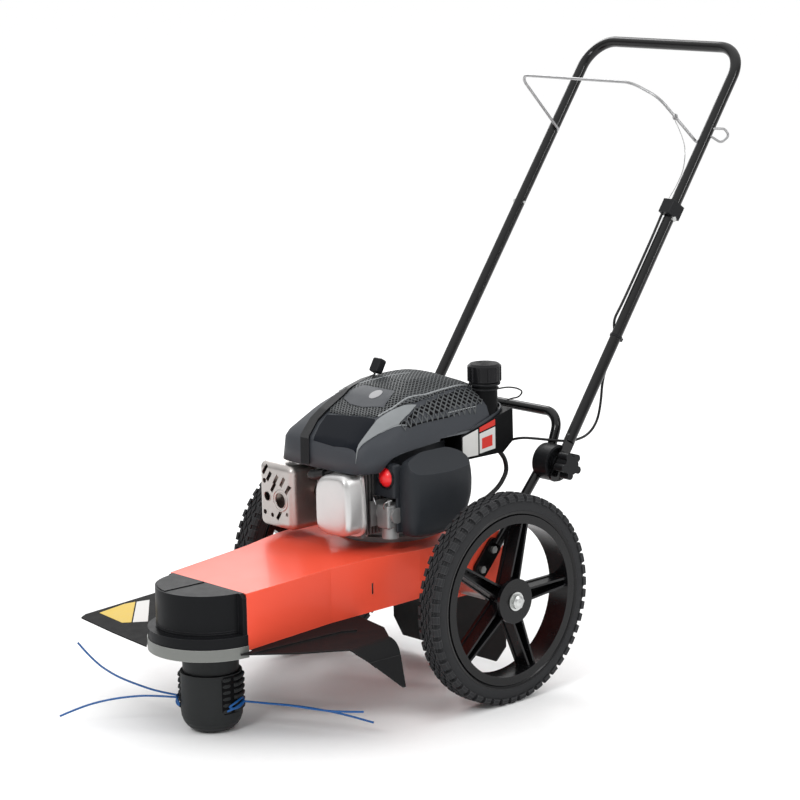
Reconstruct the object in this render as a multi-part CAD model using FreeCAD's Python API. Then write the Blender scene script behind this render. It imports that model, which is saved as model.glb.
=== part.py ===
import FreeCAD, Part
import math
import os

# Walk-behind string-trimmer mower. Millimetres, +Z up, front along -Y, operator's left along +X.
# Everything is laid out from the ground point under the middle of the axle, and moved at the end so that the
# origin lies under the middle of the machine's length.

Vector = FreeCAD.Vector

# Wheels
TYRE_RADIUS = 203.0
WHEEL_X = 272.0             # wheel centre plane
TYRE_HALF_WIDTH = 27.0
RIM_RADIUS = 160.0
AXLE_RADIUS = 7.94
AXLE_BORE = 8.0
AXLE_END = 312.0            # half the axle's length
NUT_X = 306.7               # inner face of the axle's nuts
SPOKES = 5
FIRST_SPOKE = 15.0          # turn of the first spoke from straight up towards the rear

# Deck
SHEET = 3.0
NOSE_Y = -497.0             # spindle axis and front end of the deck
DECK_REAR_Y = 108.0
DECK_TOP = 298.0
DECK_TOP_FRONT = 279.0
DECK_KINK_Y = -215.0        # where the sloping front of the top meets its level rear
DECK_BOTTOM_FRONT = 172.0
DECK_BOTTOM_SLOPE = 0.082
DECK_STEP_Y = -110.0        # behind this the sides reach down to carry the axle
DECK_SKIRT_Z = 186.0
FLAP_BOLTS_X = (-120, -40, 40, 120)
DECK_HALF_WIDTHS = ((NOSE_Y, 112.0), (-305.0, 125.0), (-166.0, 150.0), (-110.0, 158.0), (DECK_REAR_Y, 160.0))

# Debris shield under the deck
WING_REACH = 320.0          # the wing tips' distance from the middle
WING_TIP_Z = 104.0
WING_BEND_X = 266.0
WING_BEND_Y = -290.0
WING_BEND_RADIUS = 36.0
WING_BEND_LENGTH = 94.0
SHIELD_GAP = 0.3            # the plate lies this far under the deck's lower edge

# Nose
NOSE_BAND_RADIUS = 115.5
NOSE_LIP_RADIUS = 114.0
NOSE_CAP_RADIUS = 98.0
NOSE_BAND_BOTTOM = 160.0
NOSE_FLOOR = 182.0
NOSE_STEP = 202.0

# Trimmer head
HEAD_RADIUS = 58.0
HEAD_TOP = 113.5
HEAD_SHOULDER = 38.0
HEAD_FOOT_RADIUS = 25.0
COLLAR_TOP = 158.0
COLLAR_BOTTOM = 115.0
SHAFT_RADIUS = 10.0
LINE_RADIUS = 1.95
LUG_ANGLES = (29.0, 211.0)

# Belt drive
CRANK_Y = -45.0
BELT_Z = 261.0
BELT_HALF_HEIGHT = 4.7
BELT_HALF_DEPTH = 4.0
ENGINE_PULLEY_PITCH = 38.0
SPINDLE_PULLEY_PITCH = 47.5
IDLER_RADIUS = 22.0
IDLER_Y = -271.0

# Handle frame
HOOP_X = 170.0
HOOP_RADIUS = 9.5
HOOP_BOLT_Y = 44.0
HOOP_BOLT_Z = 232.0
HOOP_ANGLE = 48.0
HOOP_BOLT_SPACING = 46.0
HOOP_TOP_Y = 258.0
HOOP_TOP_Z = 509.0
PIVOT_Y = 214.0
PIVOT_Z = 420.8
HANDLE_X = 210.6
HANDLE_RADIUS = 11.1
TUBE_WALL = 1.5
HANDLE_ANGLE = 54.8
HANDLE_JOINT = 580.6        # distance of the tube joint from the pivot
HANDLE_TOP = 944.5          # distance of the top bar from the pivot
HANDLE_BEND = 65.0
BAIL_PIVOT = 724.0          # distance of the bail's pivots from the handle's pivot
BAIL_ANGLE = 125.0
BAIL_RADIUS = 3.0
CABLE_RADIUS = 2.6
CLAMP_INNER_X = 172.0
CLAMP_OUTER_X = 209.0
CLAMP_RADIUS = 36.0
STUD_RADIUS = 4.0
KNOB_LOBES = 5
TUBE_END = -38.0            # the handle tubes' flat ends reach this far past the pivot

# Engine
ENGINE_FOOT = DECK_TOP
CRANKCASE_TOP = 372.0
CRANK_RADIUS = 12.5
ENGINE_BOLT_TURNS = (20, 110, 200, 290)
COVER_Y = -250.0            # front face of the valve cover
HEAD_GASKET_Y = -205.0
BRAKE_POST_X = 62.0
BRAKE_POST_Y = -2.0
BRAKE_POST_RADIUS = 6.0
NECK_X = 112.0
NECK_Y = 110.0
NECK_RADIUS = 25.0

# Middle of the machine's length, from the nose band to the handle's top bar
HANDLE_REAR_Y = PIVOT_Y + HANDLE_TOP * math.cos(math.radians(HANDLE_ANGLE)) + HANDLE_RADIUS
ORIGIN_Y = (NOSE_Y - NOSE_BAND_RADIUS + HANDLE_REAR_Y) / 2


# ---- helpers ---------------------------------------------------------------------------------------------

def box(x0, x1, y0, y1, z0, z1):
    return Part.makeBox(x1 - x0, y1 - y0, z1 - z0, Vector(x0, y0, z0))


def cylinder(centre, axis, radius, length):
    return Part.makeCylinder(radius, length, centre, axis)


def rod_x(x0, x1, y, z, radius):
    return cylinder(Vector(x0, y, z), Vector(1, 0, 0), radius, x1 - x0)


def rod_z(x, y, z0, z1, radius):
    return cylinder(Vector(x, y, z0), Vector(0, 0, 1), radius, z1 - z0)


def union(solids):
    joined = solids[0]
    if len(solids) > 1:
        joined = joined.fuse(solids[1:])
    return joined.removeSplitter()


def corner_path(points, radii, closed=False):
    """Straight runs joined by tangent arcs. A radius of None takes the largest arc that fits."""
    count = len(points)
    corners = range(count) if closed else range(1, count - 1)
    if not isinstance(radii, (list, tuple)):
        radii = [radii] * len(corners)
    arcs = {}
    for index, radius in zip(corners, radii):
        here = points[index]
        back = points[index - 1] - here
        ahead = points[(index + 1) % count] - here
        half_turn = (math.pi - back.getAngle(ahead)) / 2
        if half_turn < 1e-4:
            continue
        shorter = min(back.Length, ahead.Length)
        if radius is None:
            radius = 0.45 * shorter / math.tan(half_turn)
        reach = radius * math.tan(half_turn)
        if reach > 0.499 * shorter:
            reach = 0.499 * shorter
            radius = reach / math.tan(half_turn)
        back.normalize()
        ahead.normalize()
        inward = back + ahead
        inward.normalize()
        middle = here + inward * (radius / math.cos(half_turn) - radius)
        arcs[index] = (here + back * reach, middle, here + ahead * reach, radius)
    edges = []
    last = count if closed else count - 1
    for index in range(last):
        following = (index + 1) % count
        start = arcs[index][2] if index in arcs else points[index]
        end = arcs[following][0] if following in arcs else points[following]
        if (end - start).Length > 1e-5:
            edges.append(Part.LineSegment(start, end).toShape())
        if following in arcs:
            arc_start, middle, arc_end, radius = arcs[following]
            edges.append(Part.Arc(arc_start, middle, arc_end).toShape())
    return Part.Wire(edges), [round(arc[3], 1) for arc in arcs.values()]


def sweep(points, radius, radii=None, inner_radius=0.0):
    """A round rod or tube along the points, with tangent arcs at its corners."""
    path, used = corner_path(points, radii)
    direction = points[1] - points[0]
    solids = []
    for size in (radius, inner_radius):
        if size > 0:
            ring = Part.Wire([Part.makeCircle(size, points[0], direction)])
            solids.append(path.makePipeShell([ring], True, False))
    solid = solids[0].cut(solids[1]) if inner_radius > 0 else solids[0]
    return solid, path.Length, used


def cord(name, points, radius):
    """A cord's plain tube, with its arc radii and its volume against section times length."""
    solid, length, used = sweep(points, radius)
    ratio = solid.Volume / (math.pi * radius ** 2 * length)
    print(name, "length", round(length, 1), "volume ratio", round(ratio, 4), "arc radii", used)
    return solid


def prism(outline, plane, start, end, corner=0.0):
    """A flat outline, pushed from start to end along the axis named by plane."""
    place = {
        "x": lambda a, b: Vector(start, a, b),
        "y": lambda a, b: Vector(a, start, b),
        "z": lambda a, b: Vector(a, b, start),
    }[plane]
    push = {"x": Vector(1, 0, 0), "y": Vector(0, 1, 0), "z": Vector(0, 0, 1)}[plane] * (end - start)
    points = [place(a, b) for a, b in outline]
    if corner > 0:
        wire = corner_path(points, corner, closed=True)[0]
    else:
        wire = Part.makePolygon(points + [points[0]])
    return Part.Face(wire).extrude(push)


def turned(profile, centre, axis):
    """A solid of revolution: profile points are (distance along the axis, radius)."""
    side = Vector(0, 0, 1) if abs(axis.z) < 0.5 else Vector(1, 0, 0)
    points = [centre + axis * along + side * radius for along, radius in profile]
    face = Part.Face(Part.makePolygon(points + [points[0]]))
    return face.revolve(centre, axis, 360)


def rounded_box(x0, x1, y0, y1, z0, z1, radius):
    block = box(x0, x1, y0, y1, z0, z1)
    return block.makeFillet(radius, block.Edges)


def hex_head(centre, axis, across, height):
    outline = []
    side = Vector(0, 0, 1) if abs(axis.z) < 0.5 else Vector(1, 0, 0)
    other = axis.cross(side)
    for step in range(6):
        turn = math.radians(60 * step + 30)
        outline.append(centre + (side * math.cos(turn) + other * math.sin(turn)) * (across / math.sqrt(3)))
    return Part.Face(Part.makePolygon(outline + [outline[0]])).extrude(axis * height)


def bolt(foot, axis, radius, length, head=5.0):
    """A hexagon bolt: foot is the end of its shank, and the head lies beyond the length."""
    shank = cylinder(foot, axis, radius, length)
    return union([shank, hex_head(foot + axis * length, axis, radius * 3.3, head)])


def mirrored(solid):
    return solid.mirror(Vector(0, 0, 0), Vector(1, 0, 0))


def save(name, *solids):
    shape = Part.makeCompound(list(solids)) if len(solids) > 1 else solids[0]
    shape.translate(Vector(0, -ORIGIN_Y, 0))
    shape.exportStep("parts/" + name + ".step")
    whole = all(solid.isValid() for solid in shape.Solids)
    print(f"{name:20s} solids {len(shape.Solids)} volume {shape.Volume / 1000:9.2f} cm3 valid {whole}")


# ---- wheels ----------------------------------------------------------------------------------------------

def wheel_rim(side):
    """A moulded wheel: a flanged ring and five channel spokes between it and the hub."""
    half = 25.0
    centre = Vector(side * WHEEL_X, 0, TYRE_RADIUS)
    axis = Vector(side, 0, 0)
    ring = turned(
        ((-half, 148), (half, 148), (half, 164), (20.5, 164), (17, RIM_RADIUS),
         (-17, RIM_RADIUS), (-20.5, 164), (-half, 164)), centre, axis)
    hub = turned(((-29, AXLE_BORE), (32, AXLE_BORE), (32, 43), (25, 43), (22, 27), (-29, 22)), centre, axis)
    pieces = [ring, hub]
    for spoke in range(SPOKES):
        turn = math.radians(360 / SPOKES * spoke + FIRST_SPOKE)
        radial = Vector(0, math.sin(turn), math.cos(turn))
        across = Vector(0, math.cos(turn), -math.sin(turn))
        outlines = [((-16, 22), (16, 22), (11, 150), (-11, 150), -14, -7)]
        for rib in (1, -1):
            outlines.append(((rib * 14, 20), (rib * 10, 20), (rib * 5, 150), (rib * 9, 150), -14, 20))
        for *corners, low, high in outlines:
            points = [centre + axis * low + across * a + radial * b for a, b in corners]
            pieces.append(Part.Face(Part.makePolygon(points + [points[0]])).extrude(axis * (high - low)))
    return union(pieces)


def tyre(side):
    """A tyre with a flat tread, beads outside the rim's flanges."""
    width = TYRE_HALF_WIDTH
    half = (
        (16.6, 160.2), (20.4, 164.3), (24.8, 168), (width, 176), (width, 190), (24, 199), (14, TYRE_RADIUS))
    profile = list(half) + [(-along, radius) for along, radius in reversed(half)]
    return turned(profile, Vector(side * WHEEL_X, 0, TYRE_RADIUS), Vector(side, 0, 0))


def axle_hardware():
    """Spacer tubes between the deck and the hubs, with the washers and nuts at the axle's ends."""
    pieces = []
    middle = Vector(0, 0, TYRE_RADIUS)
    spacer = ((161, 8.1), (242.5, 8.1), (242.5, 12), (161, 12))
    washer = ((304.6, 8), (NUT_X - 0.2, 8), (NUT_X - 0.2, 18), (304.6, 18))
    for side in (1, -1):
        axis = Vector(side, 0, 0)
        pieces.append(turned(spacer, middle, axis))
        pieces.append(turned(washer, middle, axis))
        foot = Vector(side * NUT_X, 0, TYRE_RADIUS)
        nut = hex_head(foot, axis, 25.0, 6.0)
        dome = turned(((6, 0), (9.3, 0), (8.2, 8), (6, 12)), foot, axis)
        hole = rod_x(-AXLE_END - 0.2, AXLE_END + 0.2, 0, TYRE_RADIUS, AXLE_BORE)
        pieces.append(union([nut, dome]).cut(hole))
    return pieces


# ---- deck and nose ---------------------------------------------------------------------------------------

def deck_bottom(y):
    return DECK_BOTTOM_FRONT + DECK_BOTTOM_SLOPE * (y - NOSE_Y)


def deck_block(inset, open_below):
    """The deck's outer form, or its hollow, which runs out below: a plan outline cut by a side outline."""
    front = NOSE_Y - (20 if open_below else 0)
    below = DECK_BOTTOM_FRONT if open_below else 0.0
    plan = [(half - inset, y) for y, half in DECK_HALF_WIDTHS]
    plan[0] = (plan[0][0], front)
    plan[-1] = (plan[-1][0], DECK_REAR_Y - inset)
    plan += [(-x, y) for x, y in reversed(plan)]
    rear = DECK_REAR_Y + 1
    side = [
        (front, DECK_BOTTOM_FRONT - below), (DECK_STEP_Y, deck_bottom(DECK_STEP_Y) - below),
        (DECK_STEP_Y + 20, DECK_SKIRT_Z - below), (rear, DECK_SKIRT_Z - below),
        (rear, DECK_TOP - inset), (DECK_KINK_Y, DECK_TOP - inset), (front, DECK_TOP_FRONT - inset)]
    return prism(plan, "z", 90, 400).common(prism(side, "x", -200, 200))


def flap_holes():
    return [cylinder(Vector(x, DECK_REAR_Y - 6, 208), Vector(0, 1, 0), 3.05, 12) for x in FLAP_BOLTS_X]


def deck_shell():
    shell = deck_block(0, False).cut(deck_block(SHEET, True))
    cuts = [rod_x(-200, 200, 0, TYRE_RADIUS, 8.1), rod_z(0, CRANK_Y, 280, 310, 60)]
    for along in (0, HOOP_BOLT_SPACING):
        point = hoop_point(0, along)
        cuts.append(rod_x(-200, 200, point.y, point.z, 4.1))
    cuts.append(box(120, 200, -218, -213, 228, 250))
    cuts += flap_holes()
    return shell.cut(cuts)


def half_disc(radius, z0, z1):
    disc = rod_z(0, NOSE_Y, z0, z1, radius)
    return disc.common(box(-200, 200, NOSE_Y - 200, NOSE_Y, z0 - 1, z1 + 1))


def nose_base():
    """The silver casting that carries the spindle: a floor with a deep rim round its front."""
    skirt = half_disc(NOSE_BAND_RADIUS, NOSE_BAND_BOTTOM, NOSE_FLOOR)
    skirt = skirt.cut(rod_z(0, NOSE_Y, NOSE_BAND_BOTTOM - 1, NOSE_FLOOR - 4, NOSE_BAND_RADIUS - 3.5))
    floor = box(-105, 105, NOSE_Y - 1, NOSE_Y + 67, NOSE_FLOOR - 4, NOSE_FLOOR)
    return union([skirt, floor]).cut(rod_z(0, NOSE_Y, 150, 200, 20))


def nose_cover():
    """A moulded cap over the spindle pulley: a half-round top on a wider lip, closed against the deck."""
    top = DECK_TOP_FRONT
    back = NOSE_Y - 0.3
    cheek = [(-112, NOSE_FLOOR), (112, NOSE_FLOOR), (112, top - 8), (104, top), (-104, top), (-112, top - 8)]
    outer = union([
        half_disc(NOSE_CAP_RADIUS, NOSE_STEP - 3, top),
        half_disc(NOSE_LIP_RADIUS, NOSE_FLOOR, NOSE_STEP),
        prism(cheek, "y", NOSE_Y - 9, NOSE_Y)])
    inner = union([
        half_disc(NOSE_CAP_RADIUS - SHEET, NOSE_FLOOR - 1, top - SHEET),
        half_disc(NOSE_LIP_RADIUS - SHEET, NOSE_FLOOR - 1, NOSE_STEP - SHEET)])
    return outer.cut([inner, box(-200, 200, back, NOSE_Y + 10, 100, 300)])


def debris_wing():
    """The near wing's outer edge: a quarter bend and a short drop, cut off along a slant at the front."""
    front = WING_BEND_Y - WING_BEND_LENGTH
    axis = Vector(0, 1, DECK_BOTTOM_SLOPE)
    centre = Vector(WING_BEND_X, front, deck_bottom(front) - SHIELD_GAP - WING_BEND_RADIUS)
    length = WING_BEND_LENGTH + 1
    bend = cylinder(centre, axis, WING_BEND_RADIUS, length)
    bend = bend.cut(cylinder(centre, axis, WING_BEND_RADIUS - SHEET, length))
    rise = DECK_BOTTOM_SLOPE * WING_BEND_LENGTH
    quarter = [(front, centre.z), (WING_BEND_Y, centre.z + rise), (WING_BEND_Y, 250), (front, 250)]
    bend = bend.common(prism(quarter, "x", WING_BEND_X - 0.5, WING_BEND_X + WING_BEND_RADIUS + 1))
    edge = WING_BEND_X + WING_BEND_RADIUS
    drop = prism(
        [(edge - SHEET, 160), (edge, 160), (WING_REACH, WING_TIP_Z), (WING_REACH - SHEET, WING_TIP_Z)],
        "y", front, WING_BEND_Y)
    slant = [(front, 174), (front, 200), (WING_BEND_Y, 200), (WING_BEND_Y - 8, WING_TIP_Z),
             (WING_BEND_Y - 15, WING_TIP_Z)]
    return union([bend, drop]).common(prism(slant, "x", 200, 340))


def debris_shield():
    """A moulded plate under the deck with a wing on each side; the near wing's outer edge turns down."""
    top = deck_bottom(-700) - SHIELD_GAP
    slope = DECK_BOTTOM_SLOPE * 500
    side = [(-700, top), (-200, top + slope), (-200, top + slope - SHEET), (-700, top - SHEET)]
    slab = prism(side, "x", -400, 400)
    bend_front = WING_BEND_Y - WING_BEND_LENGTH
    outline = [
        (-66, -592), (-190, -580), (-WING_REACH + 8, -564), (-WING_REACH, -548), (-308, -374), (-230, -300),
        (-140, -255), (130, -247), (225, -264), (WING_BEND_X, WING_BEND_Y), (WING_BEND_X, bend_front + 4),
        (200, -448), (128, -506), (112, -520)]
    plate = prism(outline, "z", 100, 250).common(slab)
    rib = prism([(129, -502), (175, -329), (196, -305), (200, -309), (181, -332), (135, -504)], "z", 172, 250)
    rib = rib.common(slab.translated(Vector(0, 0, SHEET)))
    cuts = [rod_z(0, NOSE_Y, 100, 250, 45), half_disc(NOSE_BAND_RADIUS + 1.5, 100, 250)]
    cuts.append(box(-300, 300, NOSE_Y - 10, NOSE_Y + 10, 100, 250).common(rod_z(0, NOSE_Y, 100, 250, 117)))
    solid = union([plate, debris_wing(), rib]).cut(cuts)
    return max(solid.Solids, key=lambda piece: piece.Volume)


def rear_flap():
    outline = [(-163, 225), (163, 225), (163, 62), (136, 27), (-136, 27), (-163, 62)]
    return prism(outline, "y", DECK_REAR_Y + 0.2, DECK_REAR_Y + 3.4).cut(flap_holes())


def chassis_bolts():
    """Frame, flap and engine bolts, the two clamp studs and the idler's stud, each a separate solid."""
    solids = []
    for side in (1, -1):
        axis = Vector(side, 0, 0)
        for along in (0, HOOP_BOLT_SPACING):
            point = hoop_point(side * 148, along)
            solids.append(bolt(point, axis, 4.0, 18.8))
        stud = cylinder(Vector(side * 155, PIVOT_Y, PIVOT_Z), axis, STUD_RADIUS, 83)
        solids.append(union([stud, cylinder(Vector(side * 155, PIVOT_Y, PIVOT_Z), axis, 9, 4.8)]))
    for x in FLAP_BOLTS_X:
        solids.append(bolt(Vector(x, DECK_REAR_Y - 12, 208), Vector(0, 1, 0), 3.0, 15.6, 4.0))
    for turn in ENGINE_BOLT_TURNS:
        x = 92 * math.cos(math.radians(turn))
        y = CRANK_Y + 92 * math.sin(math.radians(turn))
        solids.append(bolt(Vector(x, y, ENGINE_FOOT + 0.2), Vector(0, 0, 1), 4.0, 10.0))
    idler_x = -idler_offset()
    stud = rod_z(idler_x, IDLER_Y, 246, 291, 5)
    solids.append(union([stud, rod_z(idler_x, IDLER_Y, 242, 246.5, 9)]))
    return solids


# ---- drive and trimmer head ------------------------------------------------------------------------------

def belt_tangent(radius_a, radius_b):
    """Half angle by which the belt's straight runs lean, between two pulleys on the machine's centre line."""
    return math.asin((radius_b - radius_a) / (CRANK_Y - NOSE_Y))


def belt_outline(shift, z):
    """The belt's loop at a distance outside its pitch line."""
    radius_a = ENGINE_PULLEY_PITCH + shift
    radius_b = SPINDLE_PULLEY_PITCH + shift
    lean = belt_tangent(radius_a, radius_b)

    def corner(radius, y, side):
        return Vector(side * radius * math.cos(lean), y + radius * math.sin(lean), z)

    a_right = corner(radius_a, CRANK_Y, 1)
    a_left = corner(radius_a, CRANK_Y, -1)
    b_right = corner(radius_b, NOSE_Y, 1)
    b_left = corner(radius_b, NOSE_Y, -1)
    edges = [
        Part.Arc(a_left, Vector(0, CRANK_Y + radius_a, z), a_right).toShape(),
        Part.LineSegment(a_right, b_right).toShape(),
        Part.Arc(b_right, Vector(0, NOSE_Y - radius_b, z), b_left).toShape(),
        Part.LineSegment(b_left, a_left).toShape()]
    return Part.Face(Part.Wire(edges))


def drive_belt():
    low = BELT_Z - BELT_HALF_HEIGHT
    height = Vector(0, 0, 2 * BELT_HALF_HEIGHT)
    outside = belt_outline(BELT_HALF_DEPTH, low).extrude(height)
    return outside.cut(belt_outline(-BELT_HALF_DEPTH, low).extrude(height))


def idler_offset():
    lean = belt_tangent(ENGINE_PULLEY_PITCH, SPINDLE_PULLEY_PITCH)
    middle = (ENGINE_PULLEY_PITCH + SPINDLE_PULLEY_PITCH) / 2
    return middle / math.cos(lean) + BELT_HALF_DEPTH + IDLER_RADIUS + 0.6


def pulley(y, pitch, bore, hub_low, hub_high):
    """A grooved pulley with a hub, its groove a little wider and deeper than the belt."""
    bottom = pitch - BELT_HALF_DEPTH - 0.4
    rim = pitch + BELT_HALF_DEPTH + 2
    gap = BELT_HALF_HEIGHT + 0.4
    profile = (
        (-gap - 3, 16), (-gap - 3, rim), (-gap, rim), (-gap, bottom),
        (gap, bottom), (gap, rim), (gap + 3, rim),
        (gap + 3, 16))
    wheel = turned(profile, Vector(0, y, BELT_Z), Vector(0, 0, 1))
    hub = rod_z(0, y, hub_low, hub_high, 18)
    return union([wheel, hub]).cut(rod_z(0, y, hub_low - 1, hub_high + 1, bore))


def spindle_housing():
    floor = NOSE_FLOOR
    return turned(
        ((floor, 23.5), (floor, 42), (floor + 6, 42), (floor + 6, 29), (floor + 61, 29), (floor + 61, 23.5),
         (floor + 47, 23.5), (floor + 47, 20), (floor + 14, 20), (floor + 14, 23.5)),
        Vector(0, NOSE_Y, 0), Vector(0, 0, 1))


def head_body():
    """The line head: smooth shells with stacks of lugs on two sides and a round bottom."""
    arc = []
    for step in range(7):
        turn = math.radians(90 / 6 * step)
        arc.append((HEAD_SHOULDER * (1 - math.sin(turn)), HEAD_RADIUS - 33 * (1 - math.cos(turn))))
    profile = [(HEAD_TOP, 0), (HEAD_TOP, HEAD_RADIUS)] + arc + [(0, 0)]
    body = turned(profile, Vector(0, NOSE_Y, 0), Vector(0, 0, 1))
    cuts = [rod_z(0, NOSE_Y, 60, 120, SHAFT_RADIUS)]
    for turn in LUG_ANGLES:
        for level in range(5):
            z = 54 + 12 * level
            slot = box(HEAD_RADIUS - 9, HEAD_RADIUS + 5, -34, 34, z, z + 6)
            slot.rotate(Vector(0, 0, 0), Vector(0, 0, 1), turn)
            slot.translate(Vector(0, NOSE_Y, 0))
            cuts.append(slot)
    return body.cut(cuts)


def head_collar():
    profile = (
        (COLLAR_BOTTOM, SHAFT_RADIUS), (COLLAR_TOP, SHAFT_RADIUS), (COLLAR_TOP, 55), (COLLAR_BOTTOM, 52))
    return turned(profile, Vector(0, NOSE_Y, 0), Vector(0, 0, 1))


def line_points(turn, steps):
    """A trimmer line's route in the upright plane at an angle about the spindle: (distance, height) pairs."""
    x = math.cos(math.radians(turn))
    y = math.sin(math.radians(turn))
    return [Vector(x * out, NOSE_Y + y * out, height) for out, height in steps]


TRIMMER_LINES = {
    "trimmer_line_right_upper": (207.0, ((60, 56), (106, 59), (152, 69), (200, 83), (244, 108), (275, 141))),
    "trimmer_line_right_lower": (223.0, ((60, 58), (110, 62), (158, 59), (204, 51), (248, 38), (288, 20))),
    "trimmer_line_left_upper": (26.0, ((60, 58), (110, 58), (160, 59), (210, 56), (258, 56), (306, 61))),
    "trimmer_line_left_lower": (36.0, ((60, 54), (108, 52), (156, 50), (205, 45), (256, 37), (308, 24))),
}


# ---- handle frame ----------------------------------------------------------------------------------------

def hoop_point(x, along, off=0.0):
    """A point on the hoop's leg: along it from the lower bolt, and off it towards the front and up."""
    turn = math.radians(HOOP_ANGLE)
    y = HOOP_BOLT_Y + along * math.cos(turn) - off * math.sin(turn)
    z = HOOP_BOLT_Z + along * math.sin(turn) + off * math.cos(turn)
    return Vector(x, y, z)


def handle_point(x, along, off=0.0):
    """A point on the handle: along it from the pivot, and off it towards the front and up."""
    turn = math.radians(HANDLE_ANGLE)
    y = PIVOT_Y + along * math.cos(turn) - off * math.sin(turn)
    z = PIVOT_Z + along * math.sin(turn) + off * math.cos(turn)
    return Vector(x, y, z)


def bail_point(x, out):
    turn = math.radians(BAIL_ANGLE)
    pivot = handle_point(x, BAIL_PIVOT)
    return pivot + Vector(0, math.cos(turn), math.sin(turn)) * out


def strap_end(point, x0, x1, width, start, end, hole_steps):
    """A flattened tube end: a flat bar with round ends and bolt holes."""
    half = width / 2
    corners = [point(x0, start, -half), point(x0, end, -half), point(x0, end, half), point(x0, start, half)]
    wire = corner_path(corners, half * 0.98, closed=True)[0]
    bar = Part.Face(wire).extrude(Vector(x1 - x0, 0, 0))
    low = min(x0, x1) - 1
    holes = []
    for along in hole_steps:
        hole = point(0, along)
        holes.append(rod_x(low, low + abs(x1 - x0) + 2, hole.y, hole.z, STUD_RADIUS + 0.08))
    return bar, holes


def hoop_rod(radius, inner_radius=0.0):
    """The hoop's round bar: up one leg, over the engine's rear and down the other."""
    left = [hoop_point(HOOP_X, 56), hoop_point(HOOP_X, 283), Vector(HOOP_X, HOOP_TOP_Y, HOOP_TOP_Z)]
    right = [Vector(-point.x, point.y, point.z) for point in reversed(left)]
    return sweep(left + right, radius, [45, 40, 40, 45], inner_radius)[0]


def hoop_frame():
    """An upside-down U of tube over the rear of the engine, its legs flattened and bolted to the deck."""
    pieces = [hoop_rod(HOOP_RADIUS, HOOP_RADIUS - TUBE_WALL)]
    holes = [rod_x(-200, 200, PIVOT_Y, PIVOT_Z, STUD_RADIUS + 0.1)]
    for side in (1, -1):
        bar, bolt_holes = strap_end(
            hoop_point, side * 160.5, side * 166.5, 36, -18, 70, (0, HOOP_BOLT_SPACING))
        pieces.append(bar)
        holes += bolt_holes
    return union(pieces).cut(holes)


def clamp_disc():
    """A puck saddled on the hoop's leg, with a recessed outer face and a boss for the handle to turn on."""
    puck = rod_x(CLAMP_INNER_X, CLAMP_OUTER_X, PIVOT_Y, PIVOT_Z, CLAMP_RADIUS)
    recess = rod_x(CLAMP_OUTER_X - 8, CLAMP_OUTER_X + 1, PIVOT_Y, PIVOT_Z, 31)
    recess = recess.cut(rod_x(CLAMP_OUTER_X - 9, CLAMP_OUTER_X + 2, PIVOT_Y, PIVOT_Z, 14))
    stud_hole = rod_x(150, 230, PIVOT_Y, PIVOT_Z, STUD_RADIUS + 0.1)
    return puck.cut([recess, hoop_rod(HOOP_RADIUS + 0.1), stud_hole])


def star_knob():
    """A five-lobed hand knob, its bore closed at the outer end."""
    inner = 214.9
    pieces = [rod_x(inner, 225, PIVOT_Y, PIVOT_Z, 13), rod_x(223, 246, PIVOT_Y, PIVOT_Z, 18)]
    for lobe in range(KNOB_LOBES):
        turn = math.radians(360 / KNOB_LOBES * lobe + 40)
        pieces.append(rod_x(223, 246, PIVOT_Y + 20 * math.cos(turn), PIVOT_Z + 20 * math.sin(turn), 7.5))
    return union(pieces).cut(rod_x(inner - 1, 240, PIVOT_Y, PIVOT_Z, STUD_RADIUS + 0.06))


def handle_tube():
    """A lower handle tube with its flattened end at the clamp."""
    joint_hole = handle_point(0, HANDLE_JOINT - 32)
    tube = sweep(
        [handle_point(HANDLE_X, 48), handle_point(HANDLE_X, HANDLE_JOINT)],
        HANDLE_RADIUS, None, HANDLE_RADIUS - TUBE_WALL)[0]
    bar, holes = strap_end(handle_point, 209.3, 214.6, 25, TUBE_END, 66, (0,))
    holes.append(rod_x(190, 230, joint_hole.y, joint_hole.z, 3.05))
    return union([tube, bar]).cut(holes)


def handle_upper():
    """The upper U of tube, with swaged ends that fit inside the lower tubes."""
    top = handle_point(HANDLE_X, HANDLE_TOP)
    foot = handle_point(HANDLE_X, HANDLE_JOINT + 0.4)
    far_top = Vector(-top.x, top.y, top.z)
    far_foot = Vector(-foot.x, foot.y, foot.z)
    tube = sweep([foot, top, far_top, far_foot], HANDLE_RADIUS, HANDLE_BEND, HANDLE_RADIUS - TUBE_WALL)[0]
    spigots = []
    slim = HANDLE_RADIUS - TUBE_WALL - 0.05
    bore = HANDLE_RADIUS - 2 * TUBE_WALL
    for side in (1, -1):
        low = handle_point(side * HANDLE_X, HANDLE_JOINT - 60)
        middle = handle_point(side * HANDLE_X, HANDLE_JOINT + 0.4)
        high = handle_point(side * HANDLE_X, HANDLE_JOINT + 12)
        spigots.append(sweep([low, high], slim, None, bore)[0])
        spigots.append(sweep([middle, high], HANDLE_RADIUS - 0.3, None, bore)[0])
    pivot = handle_point(0, BAIL_PIVOT)
    joint = handle_point(0, HANDLE_JOINT - 32)
    bail_hole = rod_x(-206, 206, pivot.y, pivot.z, BAIL_RADIUS + 0.08)
    bolt_hole = rod_x(-230, 230, joint.y, joint.z, 3.05)
    return union([tube] + spigots).cut([bail_hole, bolt_hole])


def handle_bolts():
    solids = []
    spot = handle_point(0, HANDLE_JOINT - 32)
    for side in (1, -1):
        foot = Vector(side * (HANDLE_X - 14), spot.y, spot.z)
        shank = bolt(foot, Vector(side, 0, 0), 3.0, 25.3, 4.0)
        solids.append(shank)
    return solids


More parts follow.
